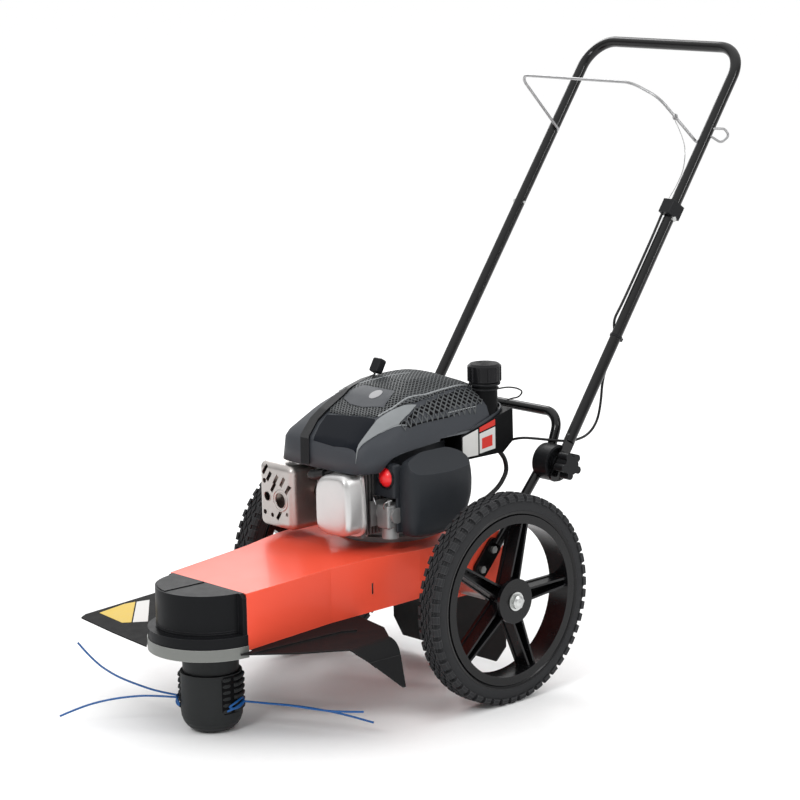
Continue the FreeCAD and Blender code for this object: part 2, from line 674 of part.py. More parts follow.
def bail():
    """The wire bail that the operator squeezes towards the handle."""
    route = ((-206.5, 0), (-193, 0), (-224, 147), (95, 147), (150, 112), (193, 0), (206.5, 0))
    points = [bail_point(x, out) for x, out in route]
    wire = sweep(points, BAIL_RADIUS, [7, 20, 80, 60, 7])[0]
    eye = Part.makeTorus(5.5, 1.6, bail_point(169, 63), Vector(0, 1, 0))
    return union([wire, eye])


def rope_guide():
    """An open loop of wire on the outside of the left leg for the starter rope."""
    route = ((217, 757, 0), (238, 765, -12), (244, 759, -28), (236, 738, -22), (217, 742, 0))
    points = [handle_point(x, along, off) for x, along, off in route]
    return sweep(points, 2.5, [6, 9, 9, 6])[0].cut(
        sweep([handle_point(HANDLE_X, 700), handle_point(HANDLE_X, 800)], HANDLE_RADIUS + 0.05)[0])


def cable_clips():
    """The cable stop clamped below the tube joint, and the tie that holds the cable to the tube."""
    stop = Part.Face(Part.makePolygon([
        handle_point(197, 552, -14), handle_point(197, 582, -14), handle_point(197, 582, 22),
        handle_point(197, 552, 22), handle_point(197, 552, -14)])).extrude(Vector(27.5, 0, 0))
    tube_hole = sweep([handle_point(HANDLE_X, 500), handle_point(HANDLE_X, 620)], HANDLE_RADIUS + 0.05)[0]
    bolt_hole = handle_point(0, HANDLE_JOINT - 32)
    stop = stop.cut([tube_hole, rod_x(180, 240, bolt_hole.y, bolt_hole.z, 6.5)])
    tie_outer = sweep([handle_point(HANDLE_X, 279), handle_point(HANDLE_X, 284)], HANDLE_RADIUS + 1.6)[0]
    tie_inner = sweep([handle_point(HANDLE_X, 270), handle_point(HANDLE_X, 290)], HANDLE_RADIUS + 0.05)[0]
    lock = Part.Face(Part.makePolygon([
        handle_point(207, 278, -11.6), handle_point(207, 285, -11.6), handle_point(207, 285, -16.5),
        handle_point(207, 278, -16.5), handle_point(207, 278, -11.6)])).extrude(Vector(9, 0, 0))
    return stop, union([tie_outer, lock]).cut(tie_inner)


INNER_WIRE = ((166.8, 597.5, 1055.4), (182, 606, 1022), (189, 604, 984), (196, 583, 944))
INNER_WIRE_END = (203.5, 583, 16)
SHEATH = (
    (203.5, 551.5, 16), (203.5, 500, 14.2), (203.5, 420, 14.2), (203, 350, 14.4), (195.5, 312, 9.5),
    (196.1, 292, -6), (195.5, 268, -16))
NECK_LOOP = (
    (122, 135.6, 569), (127, 158, 570), (131, 180, 565), (132, 195, 556), (129, 186, 546), (125, 168, 545),
    (122, 155.5, 542))
LOOP = ((195.499, 267.94, -16.025), (195, 247, -24.75))
LOOP_FREE = (
    (194.5, 354, 566), (194, 350, 520), (194, 339, 482), (193, 313, 459), (190, 275, 453), (186, 236, 459),
    (166, 200, 466), (136, 182, 467), (108, 172, 457), (92, 150, 439), (76, 112, 431), (62, 80, 428.5),
    (46.5, 49.4, 428))
HOSE = (
    (120, 138, 446.8), (120, 156, 425), (120, 160, 400), (118, 142, 374), (118, 108, 356), (120, 70, 346),
    (124, 20, 343), (128, -40, 343), (129, -100, 345), (129, -136.6, 352))
HOSE_RADIUS = 4.5
NECK_WIRE_RADIUS = 1.6
INNER_WIRE_RADIUS = 0.9


# ---- engine ----------------------------------------------------------------------------------------------

def crankcase():
    """The engine's lower casting, hollow for the crank, with the brake lever's post and a cable bracket."""
    outer = [
        rod_z(0, CRANK_Y, ENGINE_FOOT, ENGINE_FOOT + 10, 100),
        rod_z(0, CRANK_Y, ENGINE_FOOT, CRANKCASE_TOP, 84),
        box(-25, 100, -134, -90, 325, CRANKCASE_TOP),
        rod_z(BRAKE_POST_X, BRAKE_POST_Y, CRANKCASE_TOP - 2, 423, 9),
        rod_z(BRAKE_POST_X, BRAKE_POST_Y, 420, 436, BRAKE_POST_RADIUS),
        box(40, 52, 18, 47, CRANKCASE_TOP - 5, CRANKCASE_TOP - 1),
        box(40, 52, 44, 47, CRANKCASE_TOP - 5, 434)]
    hollow = [rod_z(0, CRANK_Y, ENGINE_FOOT + 8, CRANKCASE_TOP - 8, 74)]
    hollow.append(rod_z(0, CRANK_Y, ENGINE_FOOT - 1, CRANKCASE_TOP + 1, CRANK_RADIUS + 0.05))
    for turn in ENGINE_BOLT_TURNS:
        x = 92 * math.cos(math.radians(turn))
        y = CRANK_Y + 92 * math.sin(math.radians(turn))
        hollow.append(rod_z(x, y, ENGINE_FOOT - 1, ENGINE_FOOT + 12, 4.05))
    return union(outer).cut(hollow)


def engine_cylinder():
    """The cylinder and its head: a core with square cooling fins across it."""
    pieces = [box(5, 70, HEAD_GASKET_Y, -134.2, 345, 430)]
    for fin in range(6):
        y = -142 - 8.5 * fin
        pieces.append(box(-22, 96, y - 4, y, 330, 446))
    pieces.append(box(-25, 100, HEAD_GASKET_Y, HEAD_GASKET_Y + 10, 327, 449))
    return union(pieces)


def valve_cover():
    outline = [(18, 344), (18, 424), (43, 446), (106, 455), (112, 350), (97, 335), (36, 334)]
    centre_x = 65
    centre_z = 395

    def scaled(factor):
        return [(centre_x + (x - centre_x) * factor, centre_z + (z - centre_z) * factor) for x, z in outline]

    flange = prism(scaled(1.07), "y", HEAD_GASKET_Y - 5, HEAD_GASKET_Y - 0.2, 12)
    body = prism(outline, "y", COVER_Y, HEAD_GASKET_Y - 4, 12)
    hollow = prism(scaled(0.93), "y", COVER_Y + 3, HEAD_GASKET_Y, 10)
    return union([flange, body]).cut(hollow)


def muffler():
    can = rounded_box(-152, -68, -226, -146, 328, 434, 12)
    pipe = rod_x(-70, -25.2, -170, 390, 11)
    return union([can, pipe])


def muffler_guard():
    """A perforated sheet box over the muffler, open at the back."""
    shell = rounded_box(-160, -60, -240, -120, 318, 446, 14)
    shell = shell.common(box(-170, -50, -250, -150, 310, 450))
    hollow = rounded_box(-158.2, -61.8, -238.2, -110, 319.8, 444.2, 12.5)
    cuts = [hollow, rod_x(-80, -40, -170, 390, 14)]
    holes = ((-95, 375, 15), (-134, 378, 9), (-142, 408, 5), (-142, 346, 5), (-120, 343, 4.5), (-76, 350, 4))
    for x, z, radius in holes:
        cuts.append(cylinder(Vector(x, -245, z), Vector(0, 1, 0), radius, 12))
    for x, z in ((-128, 418), (-108, 414), (-88, 412), (-116, 398), (-74, 398), (-140, 430), (-100, 345)):
        slot = box(-4, 4, -245, -233, -11, 11)
        slot.rotate(Vector(0, 0, 0), Vector(0, 1, 0), 35)
        slot.translate(Vector(x, 0, z))
        cuts.append(slot)
    return shell.cut(cuts)


def carburettor():
    pieces = [
        rounded_box(112, 146, -178, -138, 346, 392, 5), rod_x(100.4, 151.8, -158, 372, 15),
        rod_z(129, -158, 326, 350, 16), rod_z(140, -170, 390, 402, 3), box(102, 106, -186, -130, 348, 396)]
    return union(pieces)


def air_filter_base():
    """The plate behind the air filter, which holds the primer, with a wall between it and the engine."""
    front = rounded_box(97, 152, -168, -148, 404, 470, 5)
    back = rounded_box(146, 152, -160, 0, 338, 466, 2.5)
    inner_wall = box(100, 103.5, -158, 10, 404, 500)
    primer_hole = cylinder(Vector(130, -175, 444), Vector(0, 1, 0), 18.3, 40)
    throat = rod_x(140, 160, -158, 372, 15.1)
    return union([front, back, inner_wall]).cut([primer_hole, throat])


def primer_bulb():
    body = cylinder(Vector(130, -169, 444), Vector(0, 1, 0), 18, 9)
    dome = Part.makeSphere(21, Vector(130, -157.5, 444)).common(box(100, 160, -190, -168.9, 420, 470))
    return union([body, dome])


def air_filter_cover():
    outline = [(-152, 470), (-90, 482), (-30, 486), (8, 464), (12, 395), (-12, 348), (-62, 326), (-152, 328)]
    cover = prism(outline, "x", 152.3, 192, 16)
    lip = [edge for edge in cover.Edges if edge.BoundBox.XMin > 191.9]
    cover = cover.makeFillet(9, lip)
    centre_y = -70
    centre_z = 404
    inner = [(centre_y + (y - centre_y) * 0.95, centre_z + (z - centre_z) * 0.95) for y, z in outline]
    return cover.cut(prism(inner, "x", 150, 188, 14))


def spark_plug():
    """The spark plug, with its boot and lead as a second solid."""
    metal = union([
        cylinder(Vector(-12, -205.2, 438), Vector(0, -1, 0), 7, 4),
        hex_head(Vector(-12, -209, 438), Vector(0, -1, 0), 16, 8),
        cylinder(Vector(-12, -217, 438), Vector(0, -1, 0), 5, 6)])
    boot_route = ((-12, -223.3, 438), (-12, -232, 438), (8, -234, 440), (30, -232, 446))
    boot = sweep([Vector(*point) for point in boot_route], 8.5, [8, 10])[0]
    lead_route = ((26, -232.2, 445), (52, -228, 456), (72, -221, 464), (88, -206, 470))
    lead = sweep([Vector(*point) for point in lead_route], 3.5)[0]
    return metal, union([boot, lead])


SHROUD_LEVELS = (
    # height, right edge, left edge, front, rear, front corner cut, rear corner cut
    (456.0, -125.0, 140.0, -236.0, 158.0, 30.0, 10.0),
    (505.0, -124.0, 141.0, -229.0, 158.0, 34.0, 10.0),
    (548.0, -109.0, 134.0, -163.0, 152.0, 40.0, 14.0),
    (580.0, -82.0, 106.0, -104.0, 100.0, 40.0, 36.0),
    (601.0, -38.0, 62.0, -48.0, 46.0, 30.0, 30.0),
)
SCREEN_LEVEL = 3


def shroud_form(levels, inset, drop):
    """A lofted dome over rectangles with cut corners, one for each level."""
    wires = []
    for height, right, left, front, rear, front_cut, rear_cut in levels:
        x0 = right + inset
        x1 = left - inset
        y0 = front + inset
        y1 = rear - inset
        outline = [
            (x0 + front_cut, y0), (x1 - front_cut, y0), (x1, y0 + front_cut), (x1, y1 - rear_cut),
            (x1 - rear_cut, y1), (x0 + rear_cut, y1), (x0, y1 - rear_cut), (x0, y0 + front_cut)]
        points = [Vector(x, y, height - drop) for x, y in outline]
        wires.append(Part.makePolygon(points + [points[0]]))
    return Part.makeLoft(wires, True, True)


def engine_shroud():
    """The cooling shroud: a domed shell, high at the sides, open at the top for the intake screen."""
    outer = shroud_form(SHROUD_LEVELS[:SCREEN_LEVEL + 1], 0, 0)
    inner = shroud_form(SHROUD_LEVELS[:SCREEN_LEVEL + 1], SHEET, 0)
    side_cut = [
        (-185, 430), (-178, 462), (-140, 486), (-75, 490), (30, 502), (160, 537), (170, 537), (170, 430)]
    cuts = [inner, prism(side_cut, "x", -200, 200), rod_z(NECK_X, NECK_Y, 500, 620, NECK_RADIUS + 0.6)]
    return outer.cut(cuts)


def intake_screen():
    outer = shroud_form(SHROUD_LEVELS[SCREEN_LEVEL:], 0, -0.2)
    inner = shroud_form(SHROUD_LEVELS[SCREEN_LEVEL:], SHEET, SHEET)
    return outer.cut(inner)


def shroud_strap():
    """A raised strap over the front of the shroud, from the starter grip down to the skirt."""
    left_edge = [(-50, -28), (-44, -80), (-36, -125), (-37, -190), (-20, -228), (-2, -245)]
    right_edge = [(-26, -245), (-44, -228), (-59, -190), (-58, -125), (-66, -80), (-72, -28)]
    raised = shroud_form(SHROUD_LEVELS, -4, -3).cut(shroud_form(SHROUD_LEVELS, 0, -0.25))
    return raised.common(prism(left_edge + right_edge, "z", 440, 640))


def fuel_tank():
    """A tank across the rear of the engine, with the filler neck on its left end."""
    side = [(18, 447), (18, 496), (156, 532), (157, 467), (130, 447)]
    inner = [(21, 450), (21, 493), (153, 527), (154, 469), (129, 450)]
    body = union([prism(side, "x", -105, 142, 4), rod_z(NECK_X, NECK_Y, 512, 610, NECK_RADIUS)])
    return body.cut([prism(inner, "x", -102, 139), rod_z(NECK_X, NECK_Y, 500, 611, NECK_RADIUS - 3)])


def fuel_cap():
    cap = turned(((588, 25.7), (588, 32.5), (618, 32.5), (622, 28), (622, 0), (612, 0), (612, 25.7)),
                 Vector(NECK_X, NECK_Y, 0), Vector(0, 0, 1))
    ribs = []
    for rib in range(12):
        turn = math.radians(30 * rib)
        ribs.append(rod_z(NECK_X + 32 * math.cos(turn), NECK_Y + 32 * math.sin(turn), 589, 617, 2.2))
    return union([cap] + ribs)


def starter_grip():
    """The pull handle on the rope's end, leaning back where the strap meets the top of the shroud."""
    grip = rounded_box(-12, 12, -9, 9, -14, 15, 4)
    grip.rotate(Vector(0, 0, 0), Vector(1, 0, 0), -30)
    grip.translate(Vector(-27, -43, 620))
    return grip


def brake_lever():
    """The lever that the cable pulls to free the flywheel brake, on a post of the crankcase."""
    ring = rod_z(BRAKE_POST_X, BRAKE_POST_Y, 423.4, 431, 12)
    arm = prism([(62, -12), (64, 8), (32, 25), (25, 14)], "z", 425, 430)
    tip = rod_z(28, 20, 424, 431, 7)
    bore = rod_z(BRAKE_POST_X, BRAKE_POST_Y, 420, 436, BRAKE_POST_RADIUS + 0.06)
    return union([ring, arm, tip]).cut(bore)


def flywheel():
    disc = turned(((508, CRANK_RADIUS), (508, 78), (526, 78), (526, 60), (514, 60), (514, 24), (526, 24),
                   (526, CRANK_RADIUS)), Vector(0, CRANK_Y, 0), Vector(0, 0, 1))
    fins = []
    for fin in range(12):
        blade = box(26, 58, -1.5, 1.5, 512, 524)
        blade.rotate(Vector(0, 0, 0), Vector(0, 0, 1), 30 * fin)
        blade.translate(Vector(0, CRANK_Y, 0))
        fins.append(blade)
    return union([disc] + fins)


# ---- build -----------------------------------------------------------------------------------------------

def build():
    os.makedirs("parts", exist_ok=True)
    for name, side in (("left", 1), ("right", -1)):
        save("rim_" + name, wheel_rim(side))
        save("tyre_" + name, tyre(side))
    save("axle", rod_x(-AXLE_END, AXLE_END, 0, TYRE_RADIUS, AXLE_RADIUS))
    save("axle_hardware", *axle_hardware())

    save("deck_shell", deck_shell())
    save("nose_cover", nose_cover())
    save("nose_base", nose_base())
    save("debris_shield", debris_shield())
    save("rear_flap", rear_flap())
    save("chassis_bolts", *chassis_bolts())

    save("drive_belt", drive_belt())
    save("engine_pulley", pulley(CRANK_Y, ENGINE_PULLEY_PITCH, CRANK_RADIUS, 249, 275))
    save("spindle_pulley", pulley(NOSE_Y, SPINDLE_PULLEY_PITCH, SHAFT_RADIUS, 247, 272))
    idler_x = -idler_offset()
    save("idler_pulley", turned(((251, 5.05), (251, IDLER_RADIUS), (271, IDLER_RADIUS), (271, 5.05)),
                                Vector(idler_x, IDLER_Y, 0), Vector(0, 0, 1)))
    save("spindle_housing", spindle_housing())
    bearing = ((0.0, SHAFT_RADIUS + 0.03), (0.0, 23.5), (14.0, 23.5), (14.0, SHAFT_RADIUS + 0.03))
    save("spindle_bearings", *[turned(bearing, Vector(0, NOSE_Y, z), Vector(0, 0, 1)) for z in (182, 229)])
    save("spindle_shaft", rod_z(0, NOSE_Y, 60, 274, SHAFT_RADIUS))
    save("head_collar", head_collar())
    save("head_body", head_body())
    for name, (turn, steps) in TRIMMER_LINES.items():
        save(name, cord(name, line_points(turn, steps), LINE_RADIUS))

    save("hoop_frame", hoop_frame())
    save("clamp_discs", clamp_disc(), mirrored(clamp_disc()))
    save("star_knob_left", star_knob())
    save("star_knob_right", mirrored(star_knob()))
    save("handle_tube_left", handle_tube())
    save("handle_tube_right", mirrored(handle_tube()))
    save("handle_upper", handle_upper())
    save("handle_bolts", *handle_bolts())
    save("bail", bail())
    save("rope_guide", rope_guide())
    save("cable_clips", *cable_clips())
    wire = [Vector(*point) for point in INNER_WIRE] + [handle_point(*INNER_WIRE_END)]
    save("cable_inner_wire", cord("inner wire", wire, INNER_WIRE_RADIUS))
    save("cable_sheath", cord("sheath", [handle_point(*point) for point in SHEATH], CABLE_RADIUS))
    loop = [handle_point(*point) for point in LOOP] + [Vector(*point) for point in LOOP_FREE]
    save("cable_loop", cord("loop", loop, CABLE_RADIUS))

    save("crankcase", crankcase())
    save("cylinder", engine_cylinder())
    save("valve_cover", valve_cover())
    save("muffler", muffler())
    save("muffler_guard", muffler_guard())
    save("carburettor", carburettor())
    save("air_filter_base", air_filter_base())
    save("air_filter_cover", air_filter_cover())
    save("primer_bulb", primer_bulb())
    save("spark_plug", *spark_plug())
    save("engine_shroud", engine_shroud())
    save("intake_screen", intake_screen())
    save("shroud_strap", shroud_strap())
    save("fuel_tank", fuel_tank())
    save("fuel_cap", fuel_cap())
    save("neck_wire", cord("neck wire", [Vector(*point) for point in NECK_LOOP], NECK_WIRE_RADIUS))
    save("fuel_hose", cord("hose", [Vector(*point) for point in HOSE], HOSE_RADIUS))
    save("starter_grip", starter_grip())
    save("brake_lever", brake_lever())
    save("crankshaft", rod_z(0, CRANK_Y, 247, 534, CRANK_RADIUS))
    save("flywheel", flywheel())


build()
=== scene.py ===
import math
from contextlib import contextmanager

import bmesh
import bpy
from mathutils import Matrix, Vector
from mathutils.bvhtree import BVHTree


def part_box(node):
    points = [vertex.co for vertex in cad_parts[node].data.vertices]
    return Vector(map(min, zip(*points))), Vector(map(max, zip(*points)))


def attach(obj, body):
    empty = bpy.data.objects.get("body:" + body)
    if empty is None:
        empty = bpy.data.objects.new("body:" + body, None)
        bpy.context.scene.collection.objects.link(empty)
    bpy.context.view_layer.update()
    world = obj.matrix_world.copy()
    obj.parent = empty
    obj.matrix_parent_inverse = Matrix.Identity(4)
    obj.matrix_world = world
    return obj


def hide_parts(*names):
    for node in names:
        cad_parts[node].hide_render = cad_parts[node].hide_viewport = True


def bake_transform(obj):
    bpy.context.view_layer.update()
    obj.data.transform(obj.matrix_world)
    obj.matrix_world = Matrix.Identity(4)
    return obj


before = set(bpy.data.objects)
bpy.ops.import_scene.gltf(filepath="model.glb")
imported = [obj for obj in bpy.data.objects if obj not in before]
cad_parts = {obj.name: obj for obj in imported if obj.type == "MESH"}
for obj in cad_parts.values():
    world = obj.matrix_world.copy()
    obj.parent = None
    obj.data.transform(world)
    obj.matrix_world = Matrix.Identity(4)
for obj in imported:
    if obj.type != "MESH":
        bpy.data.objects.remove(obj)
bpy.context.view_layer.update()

MM = 0.001


# ---- places, in millimetres from the ground under the middle of the axle

def centre_of(node):
    """The middle of a CAD node's box, in metres."""
    low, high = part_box(node)
    return (Vector(low) + Vector(high)) / 2


AXLE = centre_of("axle")
SPINDLE = centre_of("spindle_shaft")


def at(x, y, z):
    """A point in metres in the CAD frame, from one in mm from the ground under the axle."""
    return Vector((x * MM, y * MM + AXLE.y, z * MM))


WHEEL_X = centre_of("tyre_left").x / MM
AXLE_Z = AXLE.z / MM
NOSE_Y = (SPINDLE.y - AXLE.y) / MM
PIVOT = centre_of("star_knob_left")
PIVOT_Y = (PIVOT.y - AXLE.y) / MM
PIVOT_Z = PIVOT.z / MM
HANDLE_ANGLE = 54.8


UP = Vector((0, 0, 1))
BACK = Vector((0, 1, 0))


def heading(degrees):
    """The cosine and sine of an angle in degrees."""
    turn = math.radians(degrees)
    return math.cos(turn), math.sin(turn)


def on_handle(x, along, off=0.0):
    """A point beside the handle's left leg: along it from the pivot, and off it towards the front and up."""
    c, s = heading(HANDLE_ANGLE)
    return at(x, PIVOT_Y + along * c - off * s, PIVOT_Z + along * s + off * c)


# ---- camera, light and floor

CAMERA_PLACE = at(3938.8, -3572.0, 1604.1)
CAMERA_AZIMUTH = 47.88
CAMERA_ELEVATION = 11.21
CAMERA_ROLL = -1.07
CAMERA_LENS = 125.4
SENSOR_WIDTH = 36.0
VIEW_LIMIT = 1000.0
HORIZON_STRENGTH = 0.25
ZENITH_STRENGTH = 1.55
LIGHTS = (
    # name, place, target, size and power
    ("key", (1.4, -3.4, 2.6), (0.0, -0.1, 0.4), (0.7, 0.7), 42),
    ("rim", (-2.6, 1.4, 2.6), (0.0, 0.0, 0.4), (1.2, 2.4), 40),
    ("side", (3.4, 1.2, 2.2), (0.0, 0.0, 0.4), (0.25, 1.8), 26),
)
FLOOR_RADIUS = 400.0
FLOOR_DROP = 0.0005


def new_object(name, data):
    """A new object in the scene."""
    obj = bpy.data.objects.new(name, data)
    bpy.context.collection.objects.link(obj)
    return obj


def make_camera():
    """The camera at the photo's angle, placed by a fit to the wheels, the axle and the handle."""
    c, s = heading(CAMERA_AZIMUTH)
    level_share, rise = heading(CAMERA_ELEVATION)
    back = Vector((s * level_share, -c * level_share, rise))
    right = Vector((c, s, 0))
    level = Matrix((right, back.cross(right), back)).transposed()
    roll = Matrix.Rotation(math.radians(CAMERA_ROLL), 3, "Z")
    camera = new_object("camera", bpy.data.cameras.new("camera"))
    camera.data.lens = CAMERA_LENS
    camera.data.sensor_width = SENSOR_WIDTH
    camera.data.clip_end = VIEW_LIMIT
    camera.matrix_world = Matrix.Translation(CAMERA_PLACE) @ (level @ roll).to_4x4()
    bpy.context.scene.camera = camera


def area_light(name, place, target, size, power):
    """A soft light at a place, aimed at a target."""
    data = bpy.data.lights.new(name, "AREA")
    data.shape = "RECTANGLE"
    data.size, data.size_y = size
    data.energy = power
    light = new_object(name, data)
    light.location = place
    light.rotation_euler = (Vector(target) - Vector(place)).to_track_quat("-Z", "Y").to_euler()


def add_node(tree, kind, inputs=(), **settings):
    """A shader node, with its settings and then its constant inputs set."""
    node = tree.nodes.new("ShaderNode" + kind)
    for setting, value in settings.items():
        setattr(node, setting, value)
    for name, value in dict(inputs).items():
        node.inputs[name].default_value = value
    return node


def make_studio():
    """The world, lights and floor; a world dim at the horizon keeps the upright dark parts dark."""
    world = bpy.data.worlds.new("studio")
    world.use_nodes = True
    tree = world.node_tree
    background = tree.nodes["Background"]
    background.inputs["Color"].default_value = (1.0, 1.0, 1.0, 1.0)
    direction = add_node(tree, "TexCoord")
    parts = add_node(tree, "SeparateXYZ")
    strength = add_node(tree, "MapRange", {
        "From Min": 0.0, "From Max": 1.0, "To Min": HORIZON_STRENGTH, "To Max": ZENITH_STRENGTH})
    tree.links.new(direction.outputs["Generated"], parts.inputs["Vector"])
    tree.links.new(parts.outputs["Z"], strength.inputs["Value"])
    tree.links.new(strength.outputs["Result"], background.inputs["Strength"])
    bpy.context.scene.world = world
    bpy.context.scene.view_settings.view_transform = "Standard"
    for light in LIGHTS:
        area_light(*light)
    bpy.ops.mesh.primitive_circle_add(vertices=96, radius=FLOOR_RADIUS, fill_type="NGON",
                                      location=(0, 0, -FLOOR_DROP))
    floor = bpy.context.object
    floor.name = "floor"
    floor.data.materials.append(plain("floor_white", (0.92, 0.92, 0.92), 0.7, bump=0.0, variation=0.02))


# ---- materials

COAT_ROUGHNESS = 0.08
GLOSS_SPREAD = 0.035
GRAIN_DEPTH = 0.0006
WEAR_STARTS = 0.99
WEAR_FULL = 0.86


def plain(name, color, roughness, metallic=0.0, variation=0.09, patch=45.0, bump=0.06, grain=900.0,
          coat=0.0, wear=None, wear_width=0.0012, specular=0.5):
    """A moulded, painted or metal surface: patchy colour and gloss, fine grain and lighter worn edges."""
    material = bpy.data.materials.new(name)
    material.use_nodes = True
    tree = material.node_tree
    join = tree.links.new
    shader = tree.nodes["Principled BSDF"]
    shader.inputs["Metallic"].default_value = metallic
    shader.inputs["Specular IOR Level"].default_value = specular
    shader.inputs["Coat Weight"].default_value = coat
    shader.inputs["Coat Roughness"].default_value = COAT_ROUGHNESS

    place = add_node(tree, "TexCoord")
    patches = add_node(tree, "TexNoise", {"Scale": patch, "Detail": 5.0})
    tone = add_node(tree, "Mix", {
        "A": (*[channel * (1 - variation) for channel in color], 1),
        "B": (*[min(1, channel * (1 + variation)) for channel in color], 1)}, data_type="RGBA")
    gloss = add_node(tree, "MapRange", {
        "From Min": 0.3, "From Max": 0.7,
        "To Min": max(0.02, roughness - GLOSS_SPREAD), "To Max": min(1.0, roughness + GLOSS_SPREAD)})
    join(place.outputs["Object"], patches.inputs["Vector"])
    join(patches.outputs["Fac"], tone.inputs["Factor"])
    join(patches.outputs["Fac"], gloss.inputs["Value"])
    join(gloss.outputs["Result"], shader.inputs["Roughness"])
    out_color = tone.outputs["Result"]

    if wear:
        rounded = add_node(tree, "Bevel", {"Radius": wear_width}, samples=4)
        surface = add_node(tree, "NewGeometry")
        dot = add_node(tree, "VectorMath", operation="DOT_PRODUCT")
        edge = add_node(tree, "MapRange", {"From Min": WEAR_STARTS, "From Max": WEAR_FULL})
        spread = add_node(tree, "Math", operation="MULTIPLY")
        worn = add_node(tree, "Mix", {"B": (*wear, 1)}, data_type="RGBA")
        join(rounded.outputs["Normal"], dot.inputs[0])
        join(surface.outputs["Normal"], dot.inputs[1])
        join(dot.outputs["Value"], edge.inputs["Value"])
        join(edge.outputs["Result"], spread.inputs[0])
        join(patches.outputs["Fac"], spread.inputs[1])
        join(spread.outputs["Value"], worn.inputs["Factor"])
        join(out_color, worn.inputs["A"])
        out_color = worn.outputs["Result"]
    join(out_color, shader.inputs["Base Color"])

    if bump > 0:
        fine = add_node(tree, "TexNoise", {"Scale": grain, "Detail": 2.0})
        relief = add_node(tree, "Bump", {"Strength": bump, "Distance": GRAIN_DEPTH})
        join(place.outputs["Object"], fine.inputs["Vector"])
        join(fine.outputs["Fac"], relief.inputs["Height"])
        join(relief.outputs["Normal"], shader.inputs["Normal"])
    return material


def moulded(name, color, roughness, wear, bump, grain, specular):
    """A moulded plastic with worn edges."""
    return plain(name, color, roughness, wear=wear, bump=bump, grain=grain, specular=specular)


def label(name, color, roughness=0.5):
    """A printed plastic film."""
    return plain(name, color, roughness, bump=0.02, variation=0.05, specular=0.25)


make_camera()
make_studio()

PAINT = plain("deck_paint", (0.84, 0.086, 0.043), 0.38, patch=9, variation=0.04, bump=0.02, grain=500,
              coat=0.08, wear=(0.9, 0.28, 0.2), wear_width=0.0015, specular=0.22)
GLOSS_BLACK = plain("gloss_black", (0.006, 0.006, 0.007), 0.2, wear=(0.06, 0.06, 0.065), bump=0.04, grain=900,
                    coat=0.1, specular=0.12)
TUBE_PAINT = plain("tube_paint", (0.003, 0.003, 0.0033), 0.17, patch=30, bump=0.01, grain=700, coat=0.1,
                   wear=(0.05, 0.05, 0.05), specular=0.28)
RUBBER = plain("tyre_rubber", (0.02, 0.0205, 0.022), 0.7, wear=(0.12, 0.12, 0.125), wear_width=0.0018,
               bump=0.3, grain=1100, specular=0.2)
SOFT_RUBBER = plain("hose_rubber", (0.01, 0.01, 0.0105), 0.5, bump=0.15, grain=1500, specular=0.3)
PRIMER_RED = plain("primer_rubber", (0.78, 0.008, 0.012), 0.35, variation=0.08, bump=0.05, grain=800,
                   coat=0.3)
LINE_BLUE = plain("blue_nylon", (0.005, 0.08, 0.27), 0.4, patch=140, variation=0.25, bump=0.2, grain=500,
                  coat=0.15, specular=0.35)
PANEL = plain("front_panel", (0.006, 0.0075, 0.011), 0.16, patch=20, bump=0.01, grain=300, specular=0.05)
ACCENT = plain("grey_accent", (0.2, 0.212, 0.218), 0.45, bump=0.06, grain=900, specular=0.3)
RIB_GREY = plain("rib_plastic", (0.25, 0.262, 0.27), 0.45, bump=0.06, grain=900, specular=0.3)
MESH_GREY = plain("screen_plastic", (0.075, 0.08, 0.083), 0.5, bump=0.05, wear=(0.2, 0.21, 0.21),
                  wear_width=0.0006, specular=0.25)
# painted shade: a near-black sheet laid where shade falls through the grilles' holes and into the gaps
# between the head's lugs
PAINTED_SHADE = plain("painted_shade", (0.003, 0.003, 0.0035), 0.8, bump=0.1, specular=0.1)
LABEL_WHITE = label("label_white", (0.6, 0.6, 0.585))
LABEL_GREY = label("label_grey", (0.3, 0.3, 0.31))
LABEL_RED = label("label_red", (0.58, 0.03, 0.02), 0.45)
LABEL_YELLOW = label("label_yellow", (0.6, 0.42, 0.05))

# colour, roughness, worn colour, grain's strength and scale, and shine
BLACK = moulded("moulded_black", (0.0075, 0.008, 0.009), 0.42, (0.06, 0.06, 0.065), 0.12, 1600, 0.16)
TANK_BLACK = moulded("tank_plastic", (0.0035, 0.0037, 0.0042), 0.45, (0.05, 0.05, 0.055), 0.08, 1500, 0.07)
NOSE_BLACK = moulded("nose_plastic", (0.0085, 0.009, 0.01), 0.42, (0.06, 0.06, 0.065), 0.1, 1800, 0.08)
SHIELD_BLACK = moulded("shield_plastic", (0.01, 0.01, 0.0105), 0.62, (0.07, 0.07, 0.07), 0.2, 1200, 0.07)
RIM_BLACK = moulded("rim_plastic", (0.004, 0.004, 0.0045), 0.25, (0.05, 0.05, 0.055), 0.06, 1500, 0.25)
CHARCOAL = moulded("shroud_plastic", (0.038, 0.042, 0.049), 0.5, (0.14, 0.15, 0.16), 0.14, 1500, 0.25)
FILTER_PLASTIC = moulded("filter_plastic", (0.019, 0.0215, 0.0255), 0.44, (0.07, 0.08, 0.09), 0.1, 1500, 0.2)
HEAD_PLASTIC = moulded("head_plastic", (0.017, 0.0185, 0.019), 0.52, (0.08, 0.08, 0.085), 0.2, 1400, 0.18)

